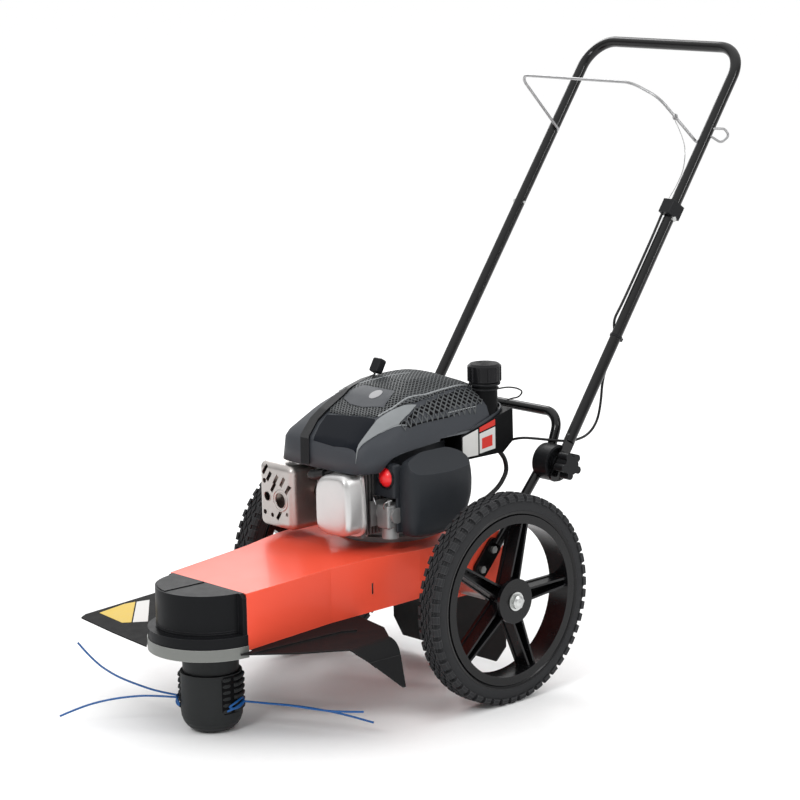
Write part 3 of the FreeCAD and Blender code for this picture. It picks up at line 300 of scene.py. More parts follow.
# colour, roughness, metallic, variation, its scale, and grain's strength and scale
SILVER = plain("cast_silver", (0.18, 0.187, 0.176), 0.45, 0.5, 0.09, 45, 0.15, 900, wear=(0.6, 0.6, 0.59))
STAMPED = plain("stamped_cover", (0.62, 0.615, 0.61), 0.34, 0.85, 0.09, 20, 0.05, 500, wear=(0.8, 0.8, 0.79))
GUARD_STEEL = plain("guard_steel", (0.5, 0.47, 0.45), 0.38, 0.9, 0.2, 16, 0.05, 400, wear=(0.72, 0.7, 0.68))
HOT_STEEL = plain("muffler_steel", (0.3, 0.25, 0.22), 0.34, 0.95, 0.4, 30, 0.12, 600)
ZINC = plain("zinc", (0.55, 0.56, 0.55), 0.32, 1.0, 0.25, 90, 0.12, 900, wear=(0.8, 0.8, 0.79))
HANDLE_WIRE = plain("handle_wire", (0.36, 0.36, 0.365), 0.3, 0.9, 0.3, 60, 0.06, 1200)
BRIGHT_WIRE = plain("bright_wire", (0.42, 0.42, 0.42), 0.28, 1.0, 0.3, 60, 0.08, 1200)
GROUND_STEEL = plain("ground_steel", (0.5, 0.5, 0.5), 0.3, 1.0, 0.09, 50, 0.08, 800)
CAST = plain("cast_aluminium", (0.3, 0.3, 0.3), 0.5, 0.75, 0.2, 40, 0.4, 700, wear=(0.55, 0.55, 0.55))
FINS = plain("engine_block", (0.14, 0.14, 0.14), 0.5, 0.6, 0.3, 40, 0.3, 700, wear=(0.4, 0.4, 0.4))
IRON = plain("cast_iron", (0.07, 0.07, 0.07), 0.55, 0.6, 0.09, 45, 0.4, 600)
YELLOW_ZINC = plain("yellow_zinc", (0.5, 0.38, 0.16), 0.34, 1.0, 0.25, 90, 0.1, 900)


# ---- mesh helpers

@contextmanager
def edited(mesh):
    """Opens a mesh as a bmesh and writes it back."""
    form = bmesh.new()
    form.from_mesh(mesh)
    yield form
    form.to_mesh(mesh)
    form.free()


def piece(name, mesh, material, body, flat=False):
    """A new object that rides on a CAD body."""
    obj = new_object(name, mesh)
    obj.data.materials.append(material)
    if not flat:
        smooth(obj)
    if body:
        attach(obj, body)
    return obj


def smooth(obj, angle=35.0):
    """Shades an object smooth, except across edges sharper than the angle."""
    mesh = obj.data
    mesh.polygons.foreach_set("use_smooth", [True] * len(mesh.polygons))
    limit = math.radians(angle)
    with edited(mesh) as form:
        for edge in form.edges:
            edge.smooth = not (edge.is_manifold and edge.calc_face_angle(0.0) > limit)


def bevel(obj, width_mm, segments=2, angle=30.0):
    """Rounds an object's sharp edges."""
    modifier = obj.modifiers.new("soft_edges", "BEVEL")
    modifier.width = width_mm * MM
    modifier.segments = segments
    modifier.limit_method = "ANGLE"
    modifier.angle_limit = math.radians(angle)
    modifier.harden_normals = True


def thicken(obj, name, thickness_mm, offset=1.0):
    """Gives a sheet a thickness: outwards, or inwards with an offset of -1."""
    modifier = obj.modifiers.new(name, "SOLIDIFY")
    modifier.thickness = thickness_mm * MM
    modifier.offset = offset


def built(name, verts, faces, material, body, flat=False):
    """A new piece from vertices and faces."""
    return piece(name, mesh_of(name, verts, faces), material, body, flat)


def mesh_of(name, verts, faces):
    """A mesh with all its faces turned outwards."""
    mesh = bpy.data.meshes.new(name)
    mesh.from_pydata([tuple(v) for v in verts], [], faces)
    mesh.validate()
    with edited(mesh) as form:
        bmesh.ops.recalc_face_normals(form, faces=form.faces)
    return mesh


def add_ring_faces(faces, first, second, count):
    """Quads between two rings of vertices that start at the given numbers."""
    for step in range(count):
        following = (step + 1) % count
        faces.append((first + step, first + following, second + following, second + step))


def revolved(profile, centre, axis, steps=96):
    """Vertices and faces of a closed turned shape; profile points are (along the axis, radius) in mm."""
    side = UP if abs(axis.z) < 0.5 else Vector((1, 0, 0))
    other = axis.cross(side)
    verts, faces = [], []
    for along, radius in profile:
        for step in range(steps):
            turn = 2 * math.pi * step / steps
            reach = (side * math.cos(turn) + other * math.sin(turn)) * radius
            verts.append(centre + (axis * along + reach) * MM)
    for ring in range(len(profile)):
        add_ring_faces(faces, ring * steps, (ring + 1) % len(profile) * steps, steps)
    return verts, faces


def add_block(verts, faces, corners):
    """A closed block of eight corners: four round the bottom, then four round the top."""
    start = len(verts)
    verts.extend(corners)
    for face in ((0, 3, 2, 1), (4, 5, 6, 7), (0, 1, 5, 4), (1, 2, 6, 5), (2, 3, 7, 6), (3, 0, 4, 7)):
        faces.append(tuple(start + corner for corner in face))


def spline(name, points, radius_mm, rings=8):
    """A smooth round rod: a NURBS spline with the points as its control points."""
    curve = bpy.data.curves.new(name, "CURVE")
    curve.dimensions = "3D"
    curve.bevel_depth = radius_mm * MM
    curve.bevel_resolution = rings
    curve.use_fill_caps = True
    line = curve.splines.new("NURBS")
    line.points.add(len(points) - 1)
    for control, point in zip(line.points, points):
        control.co = (*point, 1.0)
    line.order_u = 3
    line.use_endpoint_u = True
    line.resolution_u = 12
    return curve


def curve_mesh(curve):
    """A curve turned into a mesh."""
    holder = new_object(curve.name, curve)
    mesh = bpy.data.meshes.new_from_object(holder)
    bpy.data.objects.remove(holder)
    return mesh


def rod(name, points, radius_mm, material, body, rings=8):
    """A rod as a mesh, for what bends or needs a mesh."""
    mesh = curve_mesh(spline(name + "_line", points, radius_mm, rings))
    mesh.name = name
    return piece(name, mesh, material, body)


def line_length(points):
    """The length of the smooth line through the control points."""
    mesh = curve_mesh(spline("measure", points, 0.0))
    places = [vert.co for vert in mesh.vertices]
    return sum((places[edge.vertices[0]] - places[edge.vertices[1]]).length for edge in mesh.edges)


# ---- free trimmer lines

LINE_RADIUS = 1.95
TRIMMER_LINES = {
    # node: (turn about the spindle in degrees, points as distance from the spindle and height)
    "trimmer_line_right_upper": (207.0, ((60, 56), (106, 59), (152, 69), (200, 83), (244, 108), (275, 141))),
    "trimmer_line_right_lower": (223.0, ((60, 58), (110, 62), (158, 59), (204, 51), (248, 38), (288, 20))),
    "trimmer_line_left_upper": (26.0, ((60, 58), (110, 58), (160, 59), (210, 56), (258, 56), (306, 61))),
    "trimmer_line_left_lower": (36.0, ((60, 54), (108, 52), (156, 50), (205, 45), (256, 37), (308, 24))),
}


def make_trimmer_lines():
    """The four free strands of nylon line, each drawn through its given points."""
    for node, (turn, steps) in TRIMMER_LINES.items():
        c, s = heading(turn)
        points = [at(c * out, NOSE_Y + s * out, height) for out, height in steps]
        curve = spline(node + "_strand", points, LINE_RADIUS)
        strand = new_object(node + "_strand", curve)
        curve.materials.append(LINE_BLUE)
        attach(strand, "head")
        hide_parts(node)
        line_length(points)


make_trimmer_lines()


# ---- CAD pieces that keep their shape

KEPT = (
    # material, edge width in mm, nodes
    (RIM_BLACK, 1.2, "rim_left rim_right"),
    (GROUND_STEEL, 0.6, "axle"),
    (ZINC, 0.5, "axle_hardware"),
    (PAINT, 0.9, "deck_shell"),
    (NOSE_BLACK, 2.2, "nose_cover"),
    (SILVER, 0.8, "nose_base"),
    (SHIELD_BLACK, 0.8, "debris_shield"),
    (SOFT_RUBBER, 0.8, "rear_flap drive_belt"),
    (ZINC, 0.4, "chassis_bolts handle_bolts"),
    (GROUND_STEEL, 0.5, "engine_pulley spindle_pulley spindle_shaft crankshaft"),
    (BLACK, 0.6, "idler_pulley"),
    (IRON, 0.8, "spindle_housing"),
    (GROUND_STEEL, 0.4, "spindle_bearings"),
    (HEAD_PLASTIC, 0.8, "head_collar head_body"),
    (TUBE_PAINT, 0.6, "hoop_frame"),
    (BLACK, 2.0, "clamp_discs starter_grip"),
    (BLACK, 1.4, "star_knob_left star_knob_right"),
    (TUBE_PAINT, 0.5, "handle_tube_left handle_tube_right"),
    (TUBE_PAINT, 0.4, "handle_upper"),
    (HANDLE_WIRE, 0.3, "bail rope_guide"),
    (BLACK, 0.8, "cable_clips"),
    (CAST, 1.0, "crankcase"),
    (FINS, 0.5, "cylinder"),
    (STAMPED, 4.0, "valve_cover"),
    (HOT_STEEL, 0.8, "muffler"),
    (GUARD_STEEL, 0.4, "muffler_guard"),
    (CAST, 0.6, "carburettor"),
    (FILTER_PLASTIC, 1.0, "air_filter_base"),
    (FILTER_PLASTIC, 0.8, "air_filter_cover"),
    (PRIMER_RED, 0.6, "primer_bulb"),
    (SOFT_RUBBER, 0.5, "spark_plug"),
    (BLACK, 1.0, "shroud_strap"),
    (TANK_BLACK, 3.0, "fuel_tank"),
    (SOFT_RUBBER, 0.0, "neck_wire fuel_hose cable_sheath cable_loop"),
    (GLOSS_BLACK, 1.6, "fuel_cap"),
    (YELLOW_ZINC, 0.5, "brake_lever"),
    (CAST, 0.8, "flywheel"),
    (BRIGHT_WIRE, 0.0, "cable_inner_wire"),
    (CHARCOAL, 1.5, "engine_shroud"),
    (MESH_GREY, 1.0, "intake_screen"),
    (RUBBER, 0.0, "tyre_left tyre_right"),
)


def dress_cad_nodes():
    """Gives each CAD piece in KEPT its material and soft edges."""
    for material, width, nodes in KEPT:
        for node in nodes.split():
            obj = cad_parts[node]
            if not obj.material_slots:
                obj.data.materials.append(None)
            for holder in obj.material_slots:
                holder.link = "OBJECT"
                holder.material = material
            if width > 0:
                bevel(obj, width)


dress_cad_nodes()


# ---- tyres

# outlines are (distance across from the tyre's middle, radius)
TYRE_LUGS = 52
CASING = ((16.8, 160.4), (20.4, 164.5), (22.8, 167), (23.2, 170), (24.8, 172.5), (25.3, 178), (24.6, 186),
          (21.5, 193.5), (14.0, 197.6), (5.0, 198.6))
SIDE_LUG = ((14.6, 203.0), (21.2, 202.2), (25.8, 197.8), (26.4, 192.0))
SIDE_LUG_ROOT = ((15.5, 196.5), (19.5, 195.0), (23.0, 193.0), (24.5, 190.0))
SIDE_LUG_HALF = 0.31
RIM_FLANGE = ((16.0, 160.3), (20.2, 163.2), (23.6, 166.0), (24.9, 169.4), (25.2, 172.0), (24.4, 173.4),
              (20.0, 171.0), (16.0, 165.0))
# each crown row is (distance across, shift in pitches); a block's outline is (across in mm, along in pitches)
CROWN_ROWS = ((-11.2, 0.0), (-3.8, 0.5), (3.8, 0.0), (11.2, 0.5))
CROWN_BLOCK = ((0.9, -0.37), (3.1, -0.05), (3.1, 0.05), (0.9, 0.37),
               (-0.9, 0.37), (-3.1, 0.05), (-3.1, -0.05), (-0.9, -0.37))
CROWN_TOP = 202.9
CROWN_FALL = 0.006
CROWN_BLOCK_DEPTH = 5.5
CASING_STEPS = 168
FLANGE_STEPS = 128


def tyre_point(side, turn, across, radius):
    """A point of the left (1) or right (-1) tyre: its turn about the axle, distance across and radius."""
    return at(side * WHEEL_X + across, radius * math.sin(turn), AXLE_Z + radius * math.cos(turn))


def add_side_lug(verts, faces, side, edge, middle, half):
    """A block over the tyre's shoulder, narrower at its top than at its root."""
    start = len(verts)
    for outline, spread in ((SIDE_LUG_ROOT, 1.15), (SIDE_LUG, 0.95)):
        for turn in (middle - half * spread, middle + half * spread):
            for across, radius in outline:
                verts.append(tyre_point(side, turn, edge * across, radius))
    for step in range(3):
        a, b = start + step, start + step + 1
        faces.append((a + 8, b + 8, b + 12, a + 12))
        faces.append((a, b, b + 8, a + 8))
        faces.append((a + 4, a + 12, b + 12, b + 4))
    faces.append((start, start + 8, start + 12, start + 4))
    faces.append((start + 3, start + 7, start + 15, start + 11))


def make_tyre(side, node, body):
    """A casing with blocks over each shoulder and diamond blocks between, and the rim's two flange rings."""
    hub = at(side * WHEEL_X, 0, AXLE_Z)
    along_axle = Vector((1, 0, 0))
    profile = list(CASING) + [(-across, radius) for across, radius in reversed(CASING)]
    verts, faces = revolved(profile, hub, along_axle, CASING_STEPS)
    pitch = 2 * math.pi / TYRE_LUGS
    for lug in range(TYRE_LUGS):
        for edge, shift in ((1, 0.0), (-1, 0.5)):
            add_side_lug(verts, faces, side, edge, pitch * (lug + shift), pitch * SIDE_LUG_HALF)
        for row, shift in CROWN_ROWS:
            middle = pitch * (lug + shift)
            top = CROWN_TOP - CROWN_FALL * row * row
            start = len(verts)
            for height, spread in ((top - CROWN_BLOCK_DEPTH, 1.1), (top, 0.94)):
                verts += [tyre_point(side, middle + along * spread * pitch, row + across * spread, height)
                          for across, along in CROWN_BLOCK]
            faces.append(tuple(range(start + 8, start + 16)))
            add_ring_faces(faces, start, start + 8, 8)
    tyre = built(node + "_treaded", verts, faces, RUBBER, body)
    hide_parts(node)
    for edge in (1, -1):
        flange = [(edge * across, radius) for across, radius in RIM_FLANGE]
        verts, faces = revolved(flange, hub, along_axle, FLANGE_STEPS)
        name = node.replace("tyre", "rim_flange") + ("_outer" if edge == side else "_inner")
        built(name, verts, faces, RIM_BLACK, body)


make_tyre(1, "tyre_left", "wheel_left")
make_tyre(-1, "tyre_right", "wheel_right")


# ---- engine shroud

SHROUD_LEVELS = (
    # height, right edge, left edge, front, rear, roundness of the corners
    (456.0, -125.0, 140.0, -236.0, 158.0, 6.0),
    (505.0, -124.0, 141.0, -229.0, 158.0, 6.0),
    (548.0, -109.0, 134.0, -163.0, 152.0, 5.0),
    (580.0, -82.0, 106.0, -104.0, 100.0, 4.0),
    (601.0, -38.0, 62.0, -48.0, 46.0, 3.0),
)
SHROUD_STEPS = 96
SHROUD_WALL = 3.0
CROWN_RISE = 3
CROWN_SHOULDER = 0.8
# the skirt's lower edge, as (distance behind the axle, height)
SKIRT_CUT = ((-236, 456), (-186, 456), (-176, 466), (-158, 480), (-130, 487), (-75, 490), (30, 502),
             (158, 536))


def skirt_height(y):
    """The height of the shroud's lower edge at a distance behind the axle."""
    for (y0, z0), (y1, z1) in zip(SKIRT_CUT, SKIRT_CUT[1:]):
        if y <= y1:
            return z0 + (z1 - z0) * max(0.0, (y - y0) / (y1 - y0))
    return SKIRT_CUT[-1][1]


def shroud_ring(level):
    """The rounded outline of one level as points (x, y, height)."""
    height, right, left, front, rear, power = level
    ring = []
    for step in range(SHROUD_STEPS):
        turn = 2 * math.pi * step / SHROUD_STEPS
        c, s = math.cos(turn), math.sin(turn)
        x = (left + right) / 2 + (left - right) / 2 * math.copysign(abs(c) ** (2 / power), c)
        y = (front + rear) / 2 + (rear - front) / 2 * math.copysign(abs(s) ** (2 / power), s)
        ring.append((x, y, height))
    return ring


def between(first, second, share):
    """The point or level at a share of the way from the first to the second."""
    return tuple(a + (b - a) * share for a, b in zip(first, second))


def shroud_levels():
    """The driving levels with rounded shoulders: extra levels beside each one pull the surface round it."""
    levels = [SHROUD_LEVELS[0]]
    for below, level, above in zip(SHROUD_LEVELS, SHROUD_LEVELS[1:], SHROUD_LEVELS[2:] + (None,)):
        levels.append(between(below, level, 0.5))
        levels.append(between(below, level, 0.88))
        if above:
            levels.append(between(level, above, 0.12))
        else:
            levels.append(level)
    return levels


def make_shroud_form():
    """The shroud's outer surface, closed at the top by a shallow crown."""
    verts, faces = [], []
    levels = shroud_levels()
    for level in levels:
        verts += [at(*point) for point in shroud_ring(level)]
    for ring in range(len(levels) - 1):
        add_ring_faces(faces, ring * SHROUD_STEPS, (ring + 1) * SHROUD_STEPS, SHROUD_STEPS)
    height, right, left, front, rear, power = SHROUD_LEVELS[-1]
    centre = at((left + right) / 2, (front + rear) / 2, height + CROWN_RISE)
    last = (len(levels) - 1) * SHROUD_STEPS
    inner = len(verts)
    rise = Vector((0, 0, CROWN_SHOULDER * MM))
    verts += [centre + (verts[last + step] - centre) * 0.5 + rise for step in range(SHROUD_STEPS)]
    add_ring_faces(faces, last, inner, SHROUD_STEPS)
    verts.append(centre)
    for step in range(SHROUD_STEPS):
        faces.append((inner + step, inner + (step + 1) % SHROUD_STEPS, len(verts) - 1))
    return verts, faces


def lower_edge(verts):
    """Lifts the bottom rings to the shroud's cut edge, so that the skirt arches over the air filter."""
    for index in range(2 * SHROUD_STEPS):
        point = verts[index]
        y = (point.y - AXLE.y) / MM
        if point.z < skirt_height(y) * MM:
            point.z = skirt_height(y) * MM
    return verts


FORM_VERTS, FORM_FACES = make_shroud_form()
SHROUD_TREE = BVHTree.FromPolygons(FORM_VERTS, FORM_FACES)
ABOVE_ALL = 900


def drape(x, y, lift):
    """The point of the shroud's surface under a plan point, lifted along its normal by a distance in mm."""
    hit, normal = SHROUD_TREE.ray_cast(at(x, y, ABOVE_ALL), -UP)[:2]
    return hit + normal * (lift * MM)


def make_shroud():
    """The shroud's shell, in place of the CAD shroud and screen."""
    verts = lower_edge([point.copy() for point in FORM_VERTS])
    shell = built("shroud_shell", verts, FORM_FACES, CHARCOAL, "frame")
    thicken(shell, "wall", SHROUD_WALL, -1.0)
    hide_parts("engine_shroud", "intake_screen")


make_shroud()


def inside_outline(x, y, outline):
    """Whether a plan point is inside a closed outline."""
    inside = False
    for (x0, y0), (x1, y1) in zip(outline, outline[1:] + outline[:1]):
        if (y0 > y) != (y1 > y) and x < x0 + (x1 - x0) * (y - y0) / (y1 - y0):
            inside = not inside
    return inside


def draped_plate(name, outline, material, lift, thickness, slot, step=6.0):
    """A plate over part of the shroud: its plan outline is filled, laid on the surface and thickened."""
    form = bmesh.new()
    corners = []
    for (x0, y0), (x1, y1) in zip(outline, outline[1:] + outline[:1]):
        count = max(1, round(math.hypot(x1 - x0, y1 - y0) / step))
        for part in range(count):
            corners.append((x0 + (x1 - x0) * part / count, y0 + (y1 - y0) * part / count))
    form.faces.new([form.verts.new((x, y, 0)) for x, y in corners])
    bmesh.ops.triangulate(form, faces=form.faces[:])
    for cut in range(3):
        long_edges = [edge for edge in form.edges if edge.calc_length() > step * 1.4]
        if not long_edges:
            break
        bmesh.ops.subdivide_edges(form, edges=long_edges, cuts=1)
        bmesh.ops.triangulate(form, faces=form.faces[:])
    for vert in form.verts:
        vert.co = drape(vert.co.x, vert.co.y, lift)
    bmesh.ops.recalc_face_normals(form, faces=form.faces)
    mesh = bpy.data.meshes.new(name)
    form.to_mesh(mesh)
    form.free()
    obj = piece(name, mesh, material, "frame")
    thicken(obj, "plate", thickness)
    bevel(obj, min(0.5, thickness / 3), 1)


LATTICE_LIFT = 0.6


def draped_lattice(name, outline, left_out, half_x, half_y, hole, thickness, slot):
    """A grille of diamond holes over part of the shroud, inside one plan outline and outside others."""
    verts, faces = [], []
    xs, ys = zip(*outline)
    columns = int((max(xs) - min(xs)) / half_x) + 2
    rows = int((max(ys) - min(ys)) / half_y) + 2
    for column in range(columns):
        for row in range(rows):
            if (column + row) % 2:
                continue
            x = min(xs) + column * half_x
            y = min(ys) + row * half_y
            if not inside_outline(x, y, outline) or any(inside_outline(x, y, other) for other in left_out):
                continue
            diamond = ((half_x, 0), (0, half_y), (-half_x, 0), (0, -half_y))
            outer = [drape(x + a, y + b, LATTICE_LIFT) for a, b in diamond]
            inner = [drape(x + a * hole, y + b * hole, LATTICE_LIFT) for a, b in diamond]
            start = len(verts)
            verts += outer + inner
            for corner in range(4):
                following = (corner + 1) % 4
                faces.append((start + corner, start + following, start + 4 + following, start + 4 + corner))
    mesh = bpy.data.meshes.new(name)
    mesh.from_pydata([tuple(v) for v in verts], [], faces)
    with edited(mesh) as form:
        bmesh.ops.remove_doubles(form, verts=form.verts, dist=0.05 * MM)
    thicken(piece(name, mesh, MESH_GREY, "frame", flat=True), "bars", thickness)


RIB_LIFT = 0.3


def draped_rib(name, route, radius):
    """A rounded rib along a plan route on the shroud's surface."""
    points = []
    for first, second in zip(route, route[1:]):
        points += [drape(*between(first, second, part / 5), RIB_LIFT) for part in range(5)]
    points.append(drape(*route[-1], RIB_LIFT))
    rod(name, points, radius, RIB_GREY, "frame", rings=3)


# plan outlines on the shroud, as (x, distance behind the axle)
FRONT_PANEL = [(-8, -226), (-24, -196), (-30, -172), (0, -168), (43, -163), (92, -158), (106, -176),
               (108, -200), (110, -223), (52, -228)]
CRESCENT = [(111, -225), (117, -196), (125, -161), (130, -133), (125, -102), (116, -74), (108, -98),
            (101, -134), (98, -158), (103, -188), (108, -214)]
GRILLE = [(127, -150), (131, -116), (122, -80), (112, -4), (104, 78), (126, 96), (134, 60), (136, -8),
          (136, -110)]
SCREEN = [(-30, -166), (0, -164), (43, -160), (90, -152), (98, -134), (106, -98), (112, -70), (106, -4),
          (98, 76), (80, 104), (-60, 104), (-82, 60), (-88, -60), (-66, -120), (-46, -150)]
PLATEAU = [(-30, -128), (-36, -106), (-20, -84), (28, -84), (66, -82), (84, -128), (40, -140), (0, -139)]
BADGE_X, BADGE_Y, BADGE_RADIUS = 36, -104, 13
BADGE = [(BADGE_X + BADGE_RADIUS * c, BADGE_Y + BADGE_RADIUS * s) for c, s in map(heading, range(0, 360, 20))]

DRAPED_PLATES = (
    # name, outline, material, lift, thickness, CAD node
    ("shroud_front_panel", FRONT_PANEL, PANEL, 0.2, 1.2, "engine_shroud"),
    ("shroud_crescent", CRESCENT, ACCENT, 0.2, 2.4, "engine_shroud"),
    # the next two rows are painted shade: near-black sheets under the screen and the side grille, where shade
    # falls through their holes
    ("screen_backing", SCREEN, PAINTED_SHADE, 0.1, 0.4, "intake_screen"),
    ("grille_backing", GRILLE, PAINTED_SHADE, 0.1, 0.4, "engine_shroud"),
    ("screen_plateau", PLATEAU, CHARCOAL, 0.5, 2.2, "intake_screen"),
    ("shroud_badge", BADGE, LABEL_GREY, 2.8, 0.5, "intake_screen"),
)
DRAPED_LATTICES = (
    # name, outline, outlines left out, half pitch across and along, share of a hole, thickness, CAD node
    ("intake_screen_mesh", SCREEN, [PLATEAU], 4.0, 4.8, 0.74, 1.4, "intake_screen"),
    ("shroud_side_grille", GRILLE, [], 4.6, 7.0, 0.76, 1.6, "engine_shroud"),
)
DRAPED_RIBS = (
    # name, plan route, radius
    ("shroud_rib_left", [(92, -150), (99, -120), (98, -80), (104, -40), (99, 27), (94, 80)], 2.2),
    ("shroud_rib_right", [(-44, -168), (-62, -131), (-68, -93), (-40, -74), (-6, -50), (14, 4)], 2.2),
    ("shroud_rib_side_front", [(122, -172), (134, -116)], 1.2),
    ("shroud_rib_side_rear", [(134, -9), (133, 66)], 1.2),
)

for row in DRAPED_PLATES:
    draped_plate(*row)
for row in DRAPED_LATTICES:
    draped_lattice(*row)
for row in DRAPED_RIBS:
    draped_rib(*row)


# ---- added shapes

def cad_surface(node):
    """A CAD node's surface, to lay a label on it."""
    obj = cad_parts[node]
    verts = [obj.matrix_world @ vert.co for vert in obj.data.vertices]
    return BVHTree.FromPolygons(verts, [tuple(face.vertices) for face in obj.data.polygons])


def plate(name, corners, lift_mm, thickness_mm, material, body):
    """A thin flat plate over a run of corners in metres, raised towards the side its corners turn round."""
    normal = (corners[1] - corners[0]).cross(corners[2] - corners[1]).normalized()
    low = [corner + normal * (lift_mm * MM) for corner in corners]
    high = [corner + normal * ((lift_mm + thickness_mm) * MM) for corner in corners]
    count = len(corners)
    faces = [tuple(reversed(range(count))), tuple(range(count, 2 * count))]
    add_ring_faces(faces, 0, count, count)
    return built(name, low + high, faces, material, body, flat=True)


def ring(name, centre, axis, radius, thickness, material, body, slot):
    """A round wire ring about an axis, sizes in mm."""
    profile = []
    for step in range(10):
        turn = 2 * math.pi * step / 10
        profile.append((thickness * math.sin(turn), radius + thickness * math.cos(turn)))
    verts, faces = revolved(profile, centre, axis, steps=64)
    built(name, verts, faces, material, body)


def rounded_outline(outline):
    """Cuts the corners of a closed outline three times over, which makes it smooth."""
    for cut in range(3):
        smoother = []
        for (x0, y0), (x1, y1) in zip(outline, outline[1:] + outline[:1]):
            smoother.append((x0 * 0.78 + x1 * 0.22, y0 * 0.78 + y1 * 0.22))
            smoother.append((x0 * 0.22 + x1 * 0.78, y0 * 0.22 + y1 * 0.78))
        outline = smoother
    return outline


def pillow(name, outline, place, levels, material, body, node):
    """A moulded box: an outline drawn in level by level; place turns (u, v, level) into a point."""
    outline = rounded_outline(outline)
    us, vs = zip(*outline)
    middle_u, middle_v = (max(us) + min(us)) / 2, (max(vs) + min(vs)) / 2
    half = (max(us) - min(us)) / 2
    verts, faces = [], []
    count = len(outline)
    for level, inset in levels:
        share = 1 - inset / half
        verts += [place(middle_u + (u - middle_u) * share, middle_v + (v - middle_v) * share, level)
                  for u, v in outline]
    for ring_number in range(len(levels) - 1):
        add_ring_faces(faces, ring_number * count, (ring_number + 1) * count, count)
    faces.append(tuple(reversed(range(count))))
    faces.append(tuple(range(len(verts) - count, len(verts))))
    obj = built(name, verts, faces, material, body)
    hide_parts(node)
    return obj


def add_arc_bar(verts, faces, radius, height, bar, middle=0):
    """A bar with tapered ends, round the spindle; bar is (half height, bulge, first and last degree)."""
    half_height, bulge, first, last = bar
    centre = at(0, NOSE_Y, 0)
    steps = max(4, round((last - first) / 4))
    shape = ((-2.0, -1.0), (0.45, -1.0), (0.9, -0.6), (1.0, 0.0), (0.9, 0.6), (0.45, 1.0), (-2.0, 1.0))
    start = len(verts)
    for step in range(steps + 1):
        c, s = heading(middle + first + (last - first) * step / steps)
        fullness = 0.35 if step in (0, steps) else 1.0
        for out, up in shape:
            reach = radius + (out * bulge * fullness if out > 0 else out)
            tall = half_height * up * (0.75 + 0.25 * fullness)
            verts.append(centre + Vector((c * reach, s * reach, height + tall)) * MM)
    size = len(shape)
    for step in range(steps):
        add_ring_faces(faces, start + step * size, start + (step + 1) * size, size)
    faces.append(tuple(reversed(range(start, start + size))))
    faces.append(tuple(range(start + steps * size, start + (steps + 1) * size)))


# turn about the spindle in degrees, distance outside the head and height
HITCH_ROUTES = (
    ((-9, 0, 46), (-5, 5, 49), (5, 7, 52), (16, 7.5, 56), (26, 8, 59), (31, 5, 63), (22, 6.5, 66), (8, 7, 63),
     (-3, 6, 58), (-7, 2, 54), (1, 6, 50), (14, 8.5, 51), (27, 8, 57)),
    ((203, 5, 61), (213, 8, 57), (224, 8.5, 54), (235, 7.5, 51), (243, 3, 48), (241, 5, 56), (232, 8, 62),
     (219, 8.5, 63), (207, 7, 58), (205, 6, 53)),
)
HEAD_RADIUS = 58.0
HEAD_LUG_ANGLES = (29.0, 211.0)
LUG_HEIGHTS = (45.5, 57.5, 69.5, 81.5, 93.5, 105.5)
# half height, bulge, and the bar's two ends in degrees from the middle of the stack
LUG_BARS = ((3.9, 4.4, -22, 24), (3.2, 1.4, -46, -29))
# painted shade behind each stack of lugs: a near-black arc just over the head's surface, where the gaps fall
# into shade
SHADE_BAR = (36.0, 0.7, -48, 27)
SHADE_HEIGHT = 76.0


def make_head_lugs():
    """Two stacks of rounded lugs on each side of the line head, over a near-black arc of painted shade that
    stands in for the shade in the gaps between them.
    """
    lugs, lug_faces = [], []
    shade_verts, shade_faces = [], []
    for middle in HEAD_LUG_ANGLES:
        for height in LUG_HEIGHTS:
            for bar in LUG_BARS:
                add_arc_bar(lugs, lug_faces, HEAD_RADIUS, height, bar, middle)
        add_arc_bar(shade_verts, shade_faces, HEAD_RADIUS, SHADE_HEIGHT, SHADE_BAR, middle)
    built("head_lugs", lugs, lug_faces, HEAD_PLASTIC, "head")
    built("head_painted_shade", shade_verts, shade_faces, PAINTED_SHADE, "head")


def make_line_hitches():
    """The folded lines loop round the lugs before they leave the head."""
    for number, route in enumerate(HITCH_ROUTES):
        points = []
        for turn, out, height in route:
            c, s = heading(turn)
            reach = HEAD_RADIUS + out
            points.append(at(c * reach, NOSE_Y + s * reach, height))
        rod("line_hitch_" + str(number + 1), points, LINE_RADIUS, LINE_BLUE, "head")


make_head_lugs()
make_line_hitches()

NOSE_RADIUS = 98.0
NOSE_RIB_HEIGHTS = (206.5, 210.5)
NOSE_RIB = (0.7, 0.8, -172, -8)
# the step is a quarter of an oval about a point just behind the spindle
STEP_START = 181
STEP_TURN = 84
STEP_PARTS = 12
STEP_HALF_WIDTH, STEP_HALF_LENGTH = 94, 92


def make_nose_details():
    """The seam and step on the nose cover's top, and two fine ribs round its foot."""
    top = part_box("nose_cover")[1][2] / MM
    verts, faces = [], []
    for height in NOSE_RIB_HEIGHTS:
        add_arc_bar(verts, faces, NOSE_RADIUS, height, NOSE_RIB)
    built("nose_foot_ribs", verts, faces, NOSE_BLACK, "frame")
    corners = [at(-6, NOSE_Y - 3, top)]
    for part in range(STEP_PARTS + 1):
        c, s = heading(STEP_START + STEP_TURN * part / STEP_PARTS)
        corners.append(at(STEP_HALF_WIDTH * c, NOSE_Y - 3 + STEP_HALF_LENGTH * s, top))
    step_plate = plate("nose_step", corners, -0.4, 2.2, NOSE_BLACK, "frame")
    bevel(step_plate, 0.8)


make_nose_details()


